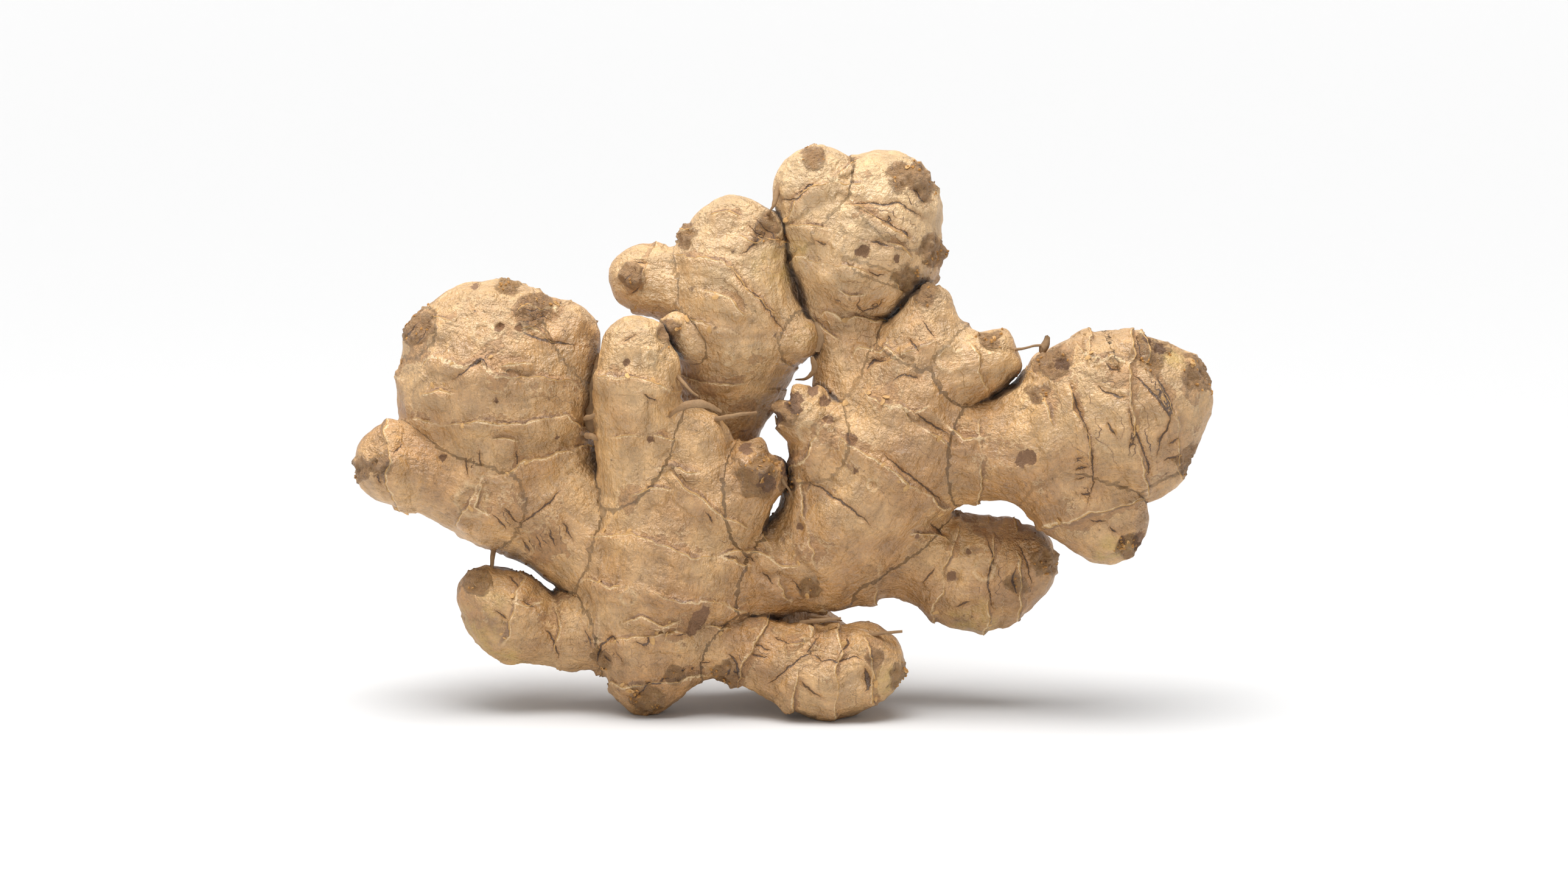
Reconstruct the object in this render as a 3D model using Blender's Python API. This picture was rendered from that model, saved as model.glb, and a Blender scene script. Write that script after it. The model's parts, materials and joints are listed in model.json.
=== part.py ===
"""A hand of fresh ginger root, one solid, standing on three low points.

The root is a tree of lobes. Each lobe is a spine with a width along it, measured in the front
view, and it melts into the lobe that it grew from. The skin is then raised along the rings where
the scale leaves sat, roughened at the buds, and thinned out to a light mesh.
Lengths are in millimetres here and are turned into metres where the meshes are made.
"""

import math

import bmesh
import bpy
import numpy as np
from mathutils import Matrix, Vector

NODE = "ginger_root"
MM = 0.001

# The front view looks down by this much, so what lies further back stands higher in it.
VIEW_TILT = math.radians(9.0)
FRONT_FOOT_DEPTH = -8.0
# Across and depth of the middle of the root's box, which stands over the origin.
MIDDLE = (0.125, 3.04)

SPINE_STEPS = 5
LOFT_SIDES = 20
CAP_RINGS = 4
VOXEL = 1.2
SETTLE_ROUNDS = 4
NOISE_SEED = 11
LUMP_SIZES = ((17.0, 0.8), (7.0, 0.3))
RING_HEIGHT = 1.3
RING_RISE = 3.4
RING_DROP = 0.8
RING_WOBBLE = 1.0
RING_WOBBLE_SIZE = 6.0
RING_FADE = 2.5
PLUMPNESS = 0.35
TRIANGLES = 11000
SKIN_COLOUR = (0.53, 0.34, 0.17, 1.0)

# Each lobe: the lobe it grew from, how widely it melts into that one, its depth over its width,
# and its spine as (across, up, depth, half width) in the front view.
LOBES = {
    "stem": (None, 0.0, 0.88, (
        (-31, 5.2, -4, 5.3), (-29, 12, -4, 10.3), (-28, 22, -2, 15.5), (-26, 34, 0, 19.5),
        (-22, 46, -2, 15.5), (-19.5, 56, -5, 9), (-19.3, 60.5, -6, 7.5))),
    "stem_heel": ("stem", 2.5, 1.0, ((-31, 14, -4, 8), (-33.1, 9.2, -4, 4.9))),
    "left_finger": ("stem", 5.0, 0.85, (
        (-34, 35, 1, 13), (-46, 42.5, 2, 13.6), (-57.6, 52.6, 3, 16.5), (-63.2, 64, 4, 19.6),
        (-64.2, 74, 4, 21.3), (-65, 85.4, 4, 11.7))),
    "left_shoulder": ("left_finger", 3.5, 0.95, ((-56, 74, 3, 12), (-50.7, 83.4, 2, 9.8))),
    "left_bud": ("left_finger", 2.0, 0.95, ((-70, 76, 2, 13), (-76.8, 82.4, 0, 8.7))),
    "left_knob": ("left_finger", 3.5, 0.95, (
        (-64, 51, 0, 13), (-76, 54.8, -2, 9.9), (-86.1, 56.4, -4, 8.9))),
    "low_left_finger": ("stem", 3.0, 0.95, (
        (-36, 22, 1, 12), (-50, 19, 0, 8.3), (-60, 21.6, -2, 9), (-62.4, 24, -3, 8))),
    "low_left_bud": ("low_left_finger", 2.5, 1.0, ((-62, 25, -3, 8), (-66.6, 28, -4, 5.9))),
    "short_finger": ("stem", 4.0, 0.95, (
        (-29, 44, -2, 10), (-31.8, 56, -5, 8.5), (-32.4, 70, -7, 8.9), (-32.8, 82.3, -7, 7.3))),
    "short_shoulder": ("short_finger", 2.5, 1.0, ((-30, 74, -7, 7), (-28.2, 78, -8, 5.3))),
    "back_finger": ("stem", 3.0, 0.92, (
        (-16, 50, 9, 9.5), (-15.6, 62, 10, 9.2), (-12.3, 75, 9, 11.2), (-9.6, 87, 7, 14.8),
        (-11.2, 97.5, 5, 13.7), (-10.6, 106.6, 5, 9.8))),
    "back_knob": ("back_finger", 2.5, 1.0, ((-22, 96, 6, 8), (-31, 98.2, 7, 7.1))),
    "back_cheek": ("back_finger", 3.0, 1.0, ((-1, 86, 3, 7), (3.8, 84.3, 0, 4.2))),
    "back_crest": ("back_finger", 2.0, 1.0, ((-6, 106, 3, 6), (-3.2, 109, 2, 3.4))),
    "back_eye": ("back_finger", 1.5, 1.0, ((-20, 83.5, -2, 4), (-23.8, 87, -4, 2.6))),
    "right_arm": ("stem", 6.0, 0.88, (
        (-14, 31, 0, 12), (0, 33.5, 0, 10.8), (10, 38.5, 0, 13.3), (19, 50, 0, 17),
        (25.5, 61.5, 0, 17.2), (29, 72, 0, 14.3))),
    "arm_stump": ("right_arm", 3.0, 0.95, ((14, 58, -2, 12), (8.5, 64, -5, 7.6), (5.8, 67, -6, 6.8))),
    "top_finger": ("right_arm", 4.0, 0.88, (
        (18, 74, 2, 11), (15.5, 86, 5, 9), (14.2, 96.2, 7, 11.8), (17.6, 105, 7, 16.6))),
    "top_left_dome": ("top_finger", 5.0, 0.95, ((12, 108, 6, 11), (8.1, 116.8, 5, 9.9))),
    "top_right_dome": ("top_finger", 5.0, 0.95, ((19, 106, 7, 15), (22.3, 113.1, 7, 13))),
    "top_wart": ("top_finger", 1.5, 1.0, ((27, 99, 4, 4), (30.2, 98.8, 4, 2.2))),
    "crest": ("right_arm", 4.0, 0.9, ((29, 70, 0, 13), (31.5, 82, -2, 9.2), (33.2, 91.3, -3, 4.7))),
    "crest_knob": ("crest", 5.0, 1.0, ((38, 77, -3, 9), (46, 79.4, -5, 6.4))),
    "right_finger": ("right_arm", 5.0, 0.85, (
        (35, 61, -1, 12.6), (48, 60, -4, 11.7), (60, 62, -6, 14.8), (70.5, 67.3, -7, 18),
        (76, 68.3, -7, 17.3), (82.4, 71.3, -7, 12.1))),
    "right_knob": ("right_finger", 3.0, 0.95, ((66, 53, -6, 13.9), (71.9, 44.3, -7, 9.5))),
    "right_heel": ("right_finger", 3.0, 0.95, ((76, 62, -7, 12), (81, 56, -7, 7.6))),
    "low_right_finger": ("right_arm", 4.5, 0.9, (
        (12, 37.5, 0, 12), (26, 36.8, 2, 9.5), (37, 34.2, 3, 11.1), (44, 31.9, 3, 12.9),
        (53, 34, 2, 8.8))),
    "front_finger": ("stem", 3.5, 0.95, (
        (-18, 18, -2, 9), (-5, 13.9, -6, 7.9), (4, 11, -8, 9.2), (11.2, 9.8, -8, 9.8),
        (18.5, 11.9, -9, 8.4))),
    "middle_stump": ("stem", 3.0, 1.0, ((-14, 44, -3, 10), (-7.2, 53.6, -6, 7.1))),
    "rear_foot": ("stem", 4.0, 1.0, (
        (-12, 28, 8, 11), (2, 18.5, 15, 8.5), (12, 11.5, 20, 7.6), (16, 10.3, 22, 7))),
    "rear_left_knob": ("left_finger", 3.5, 1.0, ((-60, 62, 8, 11), (-56, 58, 19, 8.5))),
    "rear_right_knob": ("right_arm", 3.5, 1.0, ((22, 54, 6, 12), (28, 52, 18, 8.5))),
    "rear_top_bud": ("top_finger", 2.5, 1.0, ((20, 103, 12, 9), (23, 101, 20, 6))),
}

# Rings of torn scale leaf, each on one lobe and through points (across, up) of the front view.
RINGS = (
    ("left_finger", (-60, 41), (-50, 50)), ("left_finger", (-66, 54), (-42, 61)),
    ("left_finger", (-80, 66), (-77.3, 66), (-73, 66.3), (-70.4, 65.7), (-67.8, 66.2), (-64.5, 66.3),
     (-62.5, 65.5), (-55.3, 66.2), (-52.4, 66.7), (-50.8, 66), (-48.2, 67.5), (-45, 65.4)),
    ("left_finger", (-83, 76), (-80.4, 77.5), (-75.8, 80.1), (-73, 79.1), (-70, 77.5), (-66.1, 79.1),
     (-64.8, 77.1), (-62.9, 76), (-58.9, 75.7), (-52.1, 75.7), (-49.1, 75), (-44.5, 73.5)),
    ("left_finger", (-74, 88), (-62, 84.6), (-56, 86.5), (-50, 83.6), (-45, 82.6)),
    ("left_knob", (-72, 44), (-66, 54)), ("left_knob", (-86, 48), (-88, 65)),
    ("left_bud", (-84, 77), (-72, 82)), ("stem", (-48, 40), (-33, 41.5), (-18, 36)),
    ("stem", (-45, 30), (-35.5, 29.8), (-31.8, 28.9), (-26.7, 27.5), (-17.8, 26.3), (-12, 25)),
    ("stem", (-41, 17), (-15, 20)), ("stem", (-38, 7), (-22, 9)), ("stem", (-27, 56), (-12, 55)),
    ("low_left_finger", (-50, 11), (-51, 29)), ("low_left_finger", (-63, 12), (-58, 33)),
    ("low_left_finger", (-41, 10), (-41, 22)),
    ("short_finger", (-42, 77), (-33, 75.5), (-24, 73)), ("short_finger", (-42, 63), (-25, 62)),
    ("short_finger", (-38, 87), (-26, 85)),
    ("back_finger", (-25, 103), (-19.6, 101.6), (-16.7, 102.1), (-13.8, 101.4), (-11.3, 99.6),
     (-7.6, 95.4), (-4.7, 93), (-2.7, 90.1), (2, 84)),
    ("back_finger", (-25, 89), (-12, 85.5), (2, 78)), ("back_finger", (-22, 76), (-1, 73)),
    ("back_finger", (-22, 109), (-2, 106)), ("back_knob", (-33, 91), (-29, 104)),
    ("top_finger", (1, 101.4), (4.8, 102.1), (7.3, 101.2), (13.9, 100.4), (17.2, 99), (20.9, 97.5),
     (30, 94)),
    ("top_finger", (3, 91), (23, 88)), ("top_right_dome", (8, 116), (20, 111.4), (32, 105)),
    ("top_left_dome", (-1, 110), (5, 116), (12, 120)),
    ("right_arm", (8, 66), (36, 47)), ("right_arm", (20, 72), (42, 58)),
    ("right_arm", (-5, 42), (2, 24)), ("right_arm", (6, 41), (9, 25)),
    ("crest", (22, 78), (31, 83.5), (42, 86)), ("crest_knob", (41, 86), (45, 73)),
    ("right_finger", (44, 50), (44, 72)),
    ("right_finger", (54, 79), (57.1, 70.3), (59.5, 63.9), (62.2, 57.4), (61, 47)),
    ("right_finger", (67.6, 86), (68.4, 82.5), (63.5, 76), (63, 74.1), (64.1, 68.7), (66.6, 64.9),
     (67.6, 60.1), (68, 50)),
    ("right_finger", (76.8, 86.8), (76.8, 77.4), (75.7, 69.8), (76.5, 64.9), (78.4, 60.1), (80.3, 52)),
    ("right_finger", (80, 84), (80.5, 76), (84.1, 70.9), (86.8, 64.9), (88, 57)),
    ("right_knob", (62, 44), (80, 49)),
    ("low_right_finger", (21.5, 46), (21.5, 26)), ("low_right_finger", (40, 46), (34, 22)),
    ("low_right_finger", (47, 46), (46, 20)), ("low_right_finger", (53, 44), (53, 22)),
    ("front_finger", (-10, 7), (-3, 22)), ("front_finger", (2, 3), (7, 21)),
    ("front_finger", (12, 1), (13, 20)), ("front_finger", (20, 3), (19, 20)),
    ("rear_foot", (2, 8), (10, 22)), ("arm_stump", (4, 57), (13, 70)),
)

# Bud scars, eyes and torn ends: (across, up, side, radius, height), where side is -1 on the front,
# 1 on the back and 0 right through, and a height below 0 is a dent.
MARKS = (
    (-17.5, 21, -1, 3.4, -1.4), (17.4, 103.5, -1, 2.6, -1.1), (37.8, 31.6, -1, 2.6, -1.2),
    (15.2, 62, -1, 3.2, 1.0), (18.6, 9, -1, 1.8, -1.3), (-65, 93, -1, 2.8, 1.2),
    (-51, 89, -1, 2.2, -1.0), (-4, 54, -1, 2.0, 1.6), (-8, 57, -1, 1.8, 1.4),
    (79, 66, -1, 2.4, -1.0), (70, 80, -1, 3.0, 1.0), (-87, 57, -1, 2.4, 1.3),
    (-33, 98, -1, 2.6, 1.2), (33, 72, -1, 3.0, 1.0), (-62, 27, -1, 2.4, 1.2),
    (-28, 30, 1, 4.0, 1.4), (-63, 78, 1, 3.4, -1.2), (20, 108, 1, 3.2, 1.3),
    (74, 70, 1, 3.6, -1.2), (-12, 92, 1, 3.2, 1.3), (46, 34, 1, 3.2, -1.2),
    (-56, 58, 1, 3.0, 1.4), (28, 52, 1, 3.0, 1.4), (34, 66, 1, 3.4, -1.2),
    (-1, 69.4, 0, 1.9, 1.4), (3.2, 73, 0, 1.8, 1.3), (8, 73, 0, 1.8, 1.0), (0.9, 71.4, 0, 1.3, -1.0),
    (-1.4, 56, 0, 1.9, 1.5), (-5, 60.4, 0, 1.9, 1.5), (-0.4, 51.6, 0, 1.8, 1.2),
    (-3.2, 58.6, 0, 1.4, -1.0), (-9.6, 60.4, 0, 1.8, 1.0), (49, 84.4, 0, 2.0, 1.2),
    (51.8, 78, 0, 1.9, 1.1), (-56, 93.4, 0, 2.6, 1.2), (-46, 88, 0, 2.4, 1.0), (57, 79, 0, 2.4, 1.3),
    (29.4, 119.6, 0, 2.6, 1.1), (33.4, 113, 0, 2.2, 0.9), (90.6, 79, 0, 2.4, 1.0),
)

# Broken root hairs: where each leaves the skin and where it ends, as (across, up, depth).
ROOTLETS = (
    ((-64.8, 38.5, -2), (-65.2, 33, -2)), ((-1.6, 116, -2), (-3.6, 111.5, 0)),
    ((52, 81, -5), (58.5, 82.6, -6)), ((19, 18.5, -11), (26.3, 19.6, -12)),
    ((-23.5, 76, -6), (-18, 70.5, -8)), ((-13, 66.5, -8), (-5, 68.4, -7)),
    ((6, 21, -10), (12.6, 22.3, -11)), ((56, 79, -8), (58.6, 83.6, -8)),
)
ROOTLET_FOOT_RADIUS = 0.8
ROOTLET_TIP_RADIUS = 0.45
ROOTLET_SIDES = 5
ROOTLET_SUNK = 2.5


def standing(across, up, depth):
    """The place of a front-view point in the standing root's own frame."""
    z = (up - (depth - FRONT_FOOT_DEPTH) * math.sin(VIEW_TILT)) / math.cos(VIEW_TILT)
    return np.array((across - MIDDLE[0], depth - MIDDLE[1], z))


def seen(points):
    """Rows of (across, up): where points of the standing root lie in the front view."""
    across, depth = points[:, 0] + MIDDLE[0], points[:, 1] + MIDDLE[1]
    up = points[:, 2] * math.cos(VIEW_TILT) + (depth - FRONT_FOOT_DEPTH) * math.sin(VIEW_TILT)
    return np.column_stack((across, up))


def smooth_path(points, steps):
    """A curve through the rows of points, with this many steps between each two."""
    rows = np.vstack([2 * points[0] - points[1], points, 2 * points[-1] - points[-2]])
    path = [points[0]]
    for a, b, c, d in zip(rows, rows[1:], rows[2:], rows[3:]):
        for t in np.linspace(0, 1, steps + 1)[1:]:
            path.append(0.5 * (2 * b + (c - a) * t + (2 * a - 5 * b + 4 * c - d) * t ** 2
                               + (3 * b - a - 3 * c + d) * t ** 3))
    return np.array(path)


class Lobe:
    """One finger, knob or bud: its spine, its half width along it and how deep it is."""

    def __init__(self, parent, blend, flatness, spine):
        rows = np.array([[*standing(a, u, d), w] for a, u, d, w in spine])
        path = smooth_path(rows, SPINE_STEPS)
        self.parent, self.blend, self.flatness = parent, blend, flatness
        self.centres, self.widths = path[:, :3], path[:, 3]

    def distance(self, points):
        """How far points lie outside this lobe, and the direction in which that grows."""
        squash = np.array((1, 1 / self.flatness, 1))
        where, centres = points * squash, self.centres * squash
        best = np.full(len(points), np.inf)
        away = np.zeros_like(points)
        for a, b, wa, wb in zip(centres, centres[1:], self.widths, self.widths[1:]):
            along = b - a
            t = np.clip((where - a) @ along / (along @ along), 0, 1)
            offset = where - (a + t[:, None] * along)
            reach = np.linalg.norm(offset, axis=1) + 1e-9
            gap = reach - (wa + t * (wb - wa))
            nearer = gap < best
            best[nearer] = gap[nearer]
            away[nearer] = (offset / reach[:, None])[nearer]
        return best, away * squash

    def rings(self):
        """(centre, tangent, half width) rows of a loft with a domed cap at each end."""
        tangents = np.gradient(self.centres, axis=0)
        tangents /= np.linalg.norm(tangents, axis=1)[:, None]
        rows = list(zip(self.centres, tangents, self.widths))
        turns = [math.pi / 2 * (k + 1) / (CAP_RINGS + 1) for k in range(CAP_RINGS)]
        first, last = rows[0], rows[-1]
        tail = [(first[0] - first[1] * first[2] * math.sin(a), first[1], first[2] * math.cos(a))
                for a in turns]
        head = [(last[0] + last[1] * last[2] * math.sin(a), last[1], last[2] * math.cos(a))
                for a in turns]
        ends = (first[0] - first[1] * first[2], last[0] + last[1] * last[2])
        return tail[::-1] + rows + head, ends


def loft(mesh, lobe):
    """Adds the closed tube round a lobe's spine to a bmesh."""
    rows, (tail_end, head_end) = lobe.rings()
    depth_axis = np.array((0.0, 1.0, 0.0))
    loops = []
    for centre, tangent, width in rows:
        side = np.cross(depth_axis, tangent)
        side /= np.linalg.norm(side)
        front = np.cross(tangent, side) * lobe.flatness
        loops.append([
            mesh.verts.new((centre + width * (side * math.cos(a) + front * math.sin(a))) * MM)
            for a in np.linspace(0, 2 * math.pi, LOFT_SIDES, endpoint=False)])
    for one, two in zip(loops, loops[1:]):
        for k in range(LOFT_SIDES):
            n = (k + 1) % LOFT_SIDES
            mesh.faces.new((one[k], one[n], two[n], two[k]))
    tail, head = mesh.verts.new(tail_end * MM), mesh.verts.new(head_end * MM)
    for k in range(LOFT_SIDES):
        n = (k + 1) % LOFT_SIDES
        mesh.faces.new((tail, loops[0][n], loops[0][k]))
        mesh.faces.new((head, loops[-1][k], loops[-1][n]))


def melted(lobes, points):
    """Distance to the whole root, its gradient, and the distance to each lobe by itself."""
    names = list(lobes)
    gaps, ways = zip(*(lobes[name].distance(points) for name in names))
    gaps, ways = np.array(gaps), np.array(ways)
    best, away = gaps[0].copy(), ways[0].copy()
    for i, name in enumerate(names):
        lobe = lobes[name]
        if lobe.parent is None:
            continue
        p = names.index(lobe.parent)
        share = np.clip(0.5 + 0.5 * (gaps[p] - gaps[i]) / lobe.blend, 0, 1)
        joined = gaps[p] + share * (gaps[i] - gaps[p]) - lobe.blend * share * (1 - share)
        nearer = joined < best
        best[nearer] = joined[nearer]
        mixed = ways[p] + share[:, None] * (ways[i] - ways[p])
        away[nearer] = mixed[nearer]
    return best, away, dict(zip(names, gaps))


def noise(points, seed):
    """Smooth noise between about -1 and 1, one value for each row of points."""
    table = np.random.default_rng(seed).permutation(256)
    slopes = np.random.default_rng(seed + 1).normal(size=(256, 3))
    slopes /= np.linalg.norm(slopes, axis=1)[:, None]
    cell = np.floor(points).astype(int)
    part = points - cell
    ease = part ** 3 * (part * (part * 6 - 15) + 10)
    total = np.zeros(len(points))
    for corner in np.ndindex(2, 2, 2):
        x, y, z = ((cell + corner) & 255).T
        slope = slopes[table[(table[(table[x] + y) & 255] + z) & 255]]
        weight = np.prod(np.where(corner, ease, 1 - ease), axis=1)
        total += weight * np.einsum("ij,ij->i", slope, part - corner)
    return 1.6 * total


def past_ring(name, line, flat):
    """How far front-view points lie past a ring's line, towards the tip of its lobe."""
    spine = LOBES[name][-1]
    outward = np.subtract(spine[-1][:2], spine[0][:2])
    run = (line[-1] - line[0]) / np.linalg.norm(line[-1] - line[0])
    normal = np.array((run[1], -run[0]))
    normal *= math.copysign(1, normal @ outward)
    bend = np.interp((flat - line[0]) @ run, (line - line[0]) @ run, (line - line[0]) @ normal)
    return (flat - line[0]) @ normal - bend


def ring_relief(points, gaps):
    """The raised edge that each ring of scale leaf leaves on its lobe."""
    flat = seen(points)
    wobble = RING_WOBBLE * noise(points / RING_WOBBLE_SIZE, NOISE_SEED + len(LUMP_SIZES))
    closest = np.min(list(gaps.values()), axis=0)
    height = np.zeros(len(points))
    for name, *line in RINGS:
        past = past_ring(name, np.array(line), flat) + wobble
        width = np.where(past < 0, RING_RISE, RING_DROP)
        own = np.clip(1 - (gaps[name] - closest) / RING_FADE, 0, 1)
        height = np.maximum(height, np.exp(-(past / width) ** 2) * own)
    return RING_HEIGHT * height


def mark_relief(points, outward):
    """The bumps and dents of bud scars and eyes on the front and the back."""
    flat = seen(points)
    height = np.zeros(len(points))
    for across, up, side, radius, rise in MARKS:
        reach = np.linalg.norm(flat - (across, up), axis=1)
        facing = np.clip(2 * side * outward[:, 1], 0, 1) if side else 1
        height += rise * np.exp(-(reach / radius) ** 2) * facing
    return height


def skin(lobes):
    """The root's skin as a fine closed mesh: lofted lobes joined, settled on the melted shape."""
    mesh = bmesh.new()
    for lobe in lobes.values():
        loft(mesh, lobe)
    bmesh.ops.recalc_face_normals(mesh, faces=mesh.faces)
    data = bpy.data.meshes.new("lofted_lobes")
    mesh.to_mesh(data)
    mesh.free()
    lofted = bpy.data.objects.new("lofted_lobes", data)
    bpy.context.scene.collection.objects.link(lofted)
    joined = lofted.modifiers.new("join", "REMESH")
    joined.mode, joined.voxel_size, joined.adaptivity = "VOXEL", VOXEL * MM, 0
    fine = applied(lofted)

    points = np.empty(len(fine.vertices) * 3)
    fine.vertices.foreach_get("co", points)
    points = points.reshape(-1, 3) / MM
    for _ in range(SETTLE_ROUNDS):
        gap, away, gaps = melted(lobes, points)
        points -= away * (gap / (away ** 2).sum(axis=1))[:, None]
    gap, away, gaps = melted(lobes, points)
    outward = away / np.linalg.norm(away, axis=1)[:, None]
    relief = PLUMPNESS + ring_relief(points, gaps) + mark_relief(points, outward)
    for k, (size, height) in enumerate(LUMP_SIZES):
        relief += height * noise(points / size, NOISE_SEED + k)
    points += outward * relief[:, None]
    fine.vertices.foreach_set("co", (points * MM).ravel())
    fine.update()
    return fine


def applied(source):
    """The object's evaluated mesh, with the object itself removed."""
    graph = bpy.context.evaluated_depsgraph_get()
    made = bpy.data.meshes.new_from_object(source.evaluated_get(graph))
    bpy.data.objects.remove(source)
    return made


def thinned(mesh, triangles):
    """The same skin with about this many triangles, fewest where it is plain."""
    item = bpy.data.objects.new("thinning", mesh)
    bpy.context.scene.collection.objects.link(item)
    item.modifiers.new("triangles", "TRIANGULATE")
    fewer = item.modifiers.new("fewer", "DECIMATE")
    fewer.ratio = triangles / (2 * len(mesh.polygons))
    return applied(item)


def rootlet(mesh, start, end):
    """Adds one tapered root hair to a bmesh, its foot sunk below the skin."""
    foot, tip = Vector(standing(*start) * MM), Vector(standing(*end) * MM)
    foot -= (tip - foot).normalized() * ROOTLET_SUNK * MM
    turn = (tip - foot).to_track_quat("Z", "Y").to_matrix().to_4x4()
    bmesh.ops.create_cone(
        mesh, cap_ends=True, segments=ROOTLET_SIDES, radius1=ROOTLET_FOOT_RADIUS * MM,
        radius2=ROOTLET_TIP_RADIUS * MM, depth=(tip - foot).length,
        matrix=Matrix.Translation((foot + tip) / 2) @ turn)


def helper(name, mesh):
    """An object for a Boolean to use, which isn't part of the root."""
    data = bpy.data.meshes.new(name)
    mesh.to_mesh(data)
    mesh.free()
    item = bpy.data.objects.new(name, data)
    bpy.context.scene.collection.objects.link(item)
    item.hide_render, item.display_type = True, "WIRE"
    return item


def skin_material():
    material = bpy.data.materials.new("ginger_skin")
    material.use_nodes = True
    surface = material.node_tree.nodes["Principled BSDF"]
    surface.inputs["Base Color"].default_value = SKIN_COLOUR
    surface.inputs["Roughness"].default_value = 0.6
    surface.inputs["Metallic"].default_value = 0.0
    return material


def build():
    for item in list(bpy.data.objects):
        bpy.data.objects.remove(item)
    lobes = {name: Lobe(*facts) for name, facts in LOBES.items()}
    root = bpy.data.objects.new(NODE, thinned(skin(lobes), TRIANGLES))
    bpy.context.scene.collection.objects.link(root)

    for k, (start, end) in enumerate(ROOTLETS):
        hair = bmesh.new()
        rootlet(hair, start, end)
        join = root.modifiers.new(f"rootlet_{k}", "BOOLEAN")
        join.operation, join.object = "UNION", helper(f"rootlet_{k}", hair)

    floor = bmesh.new()
    bmesh.ops.create_cube(floor, size=1, matrix=Matrix.Translation((0, 0, -0.5)))
    cut = root.modifiers.new("flat_feet", "BOOLEAN")
    cut.operation, cut.object = "DIFFERENCE", helper("floor", floor)

    root.data.materials.clear()
    root.data.materials.append(skin_material())
    root.data.shade_smooth()


build()
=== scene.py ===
"""The looks of a hand of fresh ginger root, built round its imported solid."""

import json
import math

import bmesh
import bpy
import numpy as np
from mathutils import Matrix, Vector

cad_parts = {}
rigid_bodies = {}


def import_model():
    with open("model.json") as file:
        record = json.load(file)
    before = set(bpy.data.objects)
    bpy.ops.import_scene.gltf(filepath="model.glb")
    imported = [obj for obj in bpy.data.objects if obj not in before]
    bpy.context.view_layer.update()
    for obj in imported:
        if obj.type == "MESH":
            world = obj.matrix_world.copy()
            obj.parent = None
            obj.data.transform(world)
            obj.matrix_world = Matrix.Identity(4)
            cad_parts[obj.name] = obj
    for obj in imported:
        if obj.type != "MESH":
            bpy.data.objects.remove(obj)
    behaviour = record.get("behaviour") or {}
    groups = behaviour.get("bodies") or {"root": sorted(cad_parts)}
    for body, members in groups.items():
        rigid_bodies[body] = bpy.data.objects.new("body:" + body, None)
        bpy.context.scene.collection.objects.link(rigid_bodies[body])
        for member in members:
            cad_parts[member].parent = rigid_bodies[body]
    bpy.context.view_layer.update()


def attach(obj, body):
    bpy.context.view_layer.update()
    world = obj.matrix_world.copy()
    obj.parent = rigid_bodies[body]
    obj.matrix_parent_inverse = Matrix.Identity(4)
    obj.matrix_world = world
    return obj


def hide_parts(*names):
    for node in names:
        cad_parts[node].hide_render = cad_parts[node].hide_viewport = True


bl_info = {
    "name": "Ginger Root",
    "version": (1, 0, 0),
    "blender": (4, 5, 0),
    "location": "3D View > Sidebar > Ginger Root",
    "description": "Builds a hand of ginger: papery skin, torn leaf edges, root hairs, cork and crumbs",
    "category": "Object",
}

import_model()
NODE = "ginger_root"
BODY = "root"
MM = 0.001

# The front view looks down by this much, so what lies further back stands higher in it.
VIEW_TILT = math.radians(9.0)
FRONT_FOOT_DEPTH = -8.0
# Across and depth of the middle of the root's box, which stands over the origin.
MIDDLE = (0.125, 3.04)

# How the lobes are sampled and the mesh is settled on them, in millimetres.
SPINE_STEPS = 5
LOFT_SIDES = 20
CAP_RINGS = 4
SETTLE_ROUNDS = 4
REACH = 14.0
FAR = 1000.0
TINY = 1e-9
# How far the grain of one lobe is set off from the next one's.
GRAIN_STEP = 37.0
# Every noise counts its own seed from this one.
NOISE_SEED = 11
# Gentle lumps: (size, height).
LUMP_SIZES = ((17.0, 0.8), (7.0, 0.4), (3.2, 0.22))
PLUMPNESS = 0.35
# Torn edges: how they wander, (size, height) of their rag, how wide their two sides are and where
# they break off.
RING_WOBBLE = 1.4
RING_WOBBLE_SIZE = 6.0
RAG_SIZES = ((2.5, 0.5), (1.3, 0.35))
PATCH_SIZE = 9.0
RING_RISE = 3.4
RING_DROP = 0.45
RING_FADE = 2.5
CLEAR = 4.0
LEAST_FORCE = 0.25
SHORTEST_PATH = 8
EDGE_LEAN = -0.5
# Cracks, scars, eyes and cork: how ragged they are and how high or deep.
CRACK_WANDER = 0.45
CRACK_END = 0.12
CRACK_WANDER_SIZES = (1.7, 1.9)
SCAR_RAG = 1.7
SCAR_DEPTH = 0.55
FRESH_RAG = 6.0
EYE_RIM = 0.35
EYE_HEIGHT = 0.4
CORK_RAG = 5.0
CORK_LUMPS = ((0.9, 0.6), (2.4, 1.1))
# The skin's gloss, where it peels, between which heights it turns pale as painted light on the tops, and
# how specks bend.
SKIN_IOR = 1.6
PEEL_FROM = 0.615
TOP_LIGHT_FROM, TOP_LIGHT_TO = 0.05, 0.13
SPECK_BEND = 0.0016
# Creases between lobes: (how far to feel out from the skin, how much that counts).
HOLLOW_REACHES = ((1.0, 0.2), (2.5, 0.35), (5.0, 0.45))
# The small pieces' materials: name, light tone, dark tone and roughness.
SCRAPS = {
    "torn_edges": ("torn_leaf", "pale", "rust", 0.6), "root_hairs": ("root_hair", "leaf", "scar", 0.75),
    "dry_sheaths": ("dry_sheath", "leaf", "scar", 0.7), "skin_flakes": ("flake", "pale", "umber", 0.6),
    "cork_grains": ("cork_grain", "cork", "scar", 0.8), "soil_crumbs": ("crumb", "scar", "dark", 0.9),
}
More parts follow.
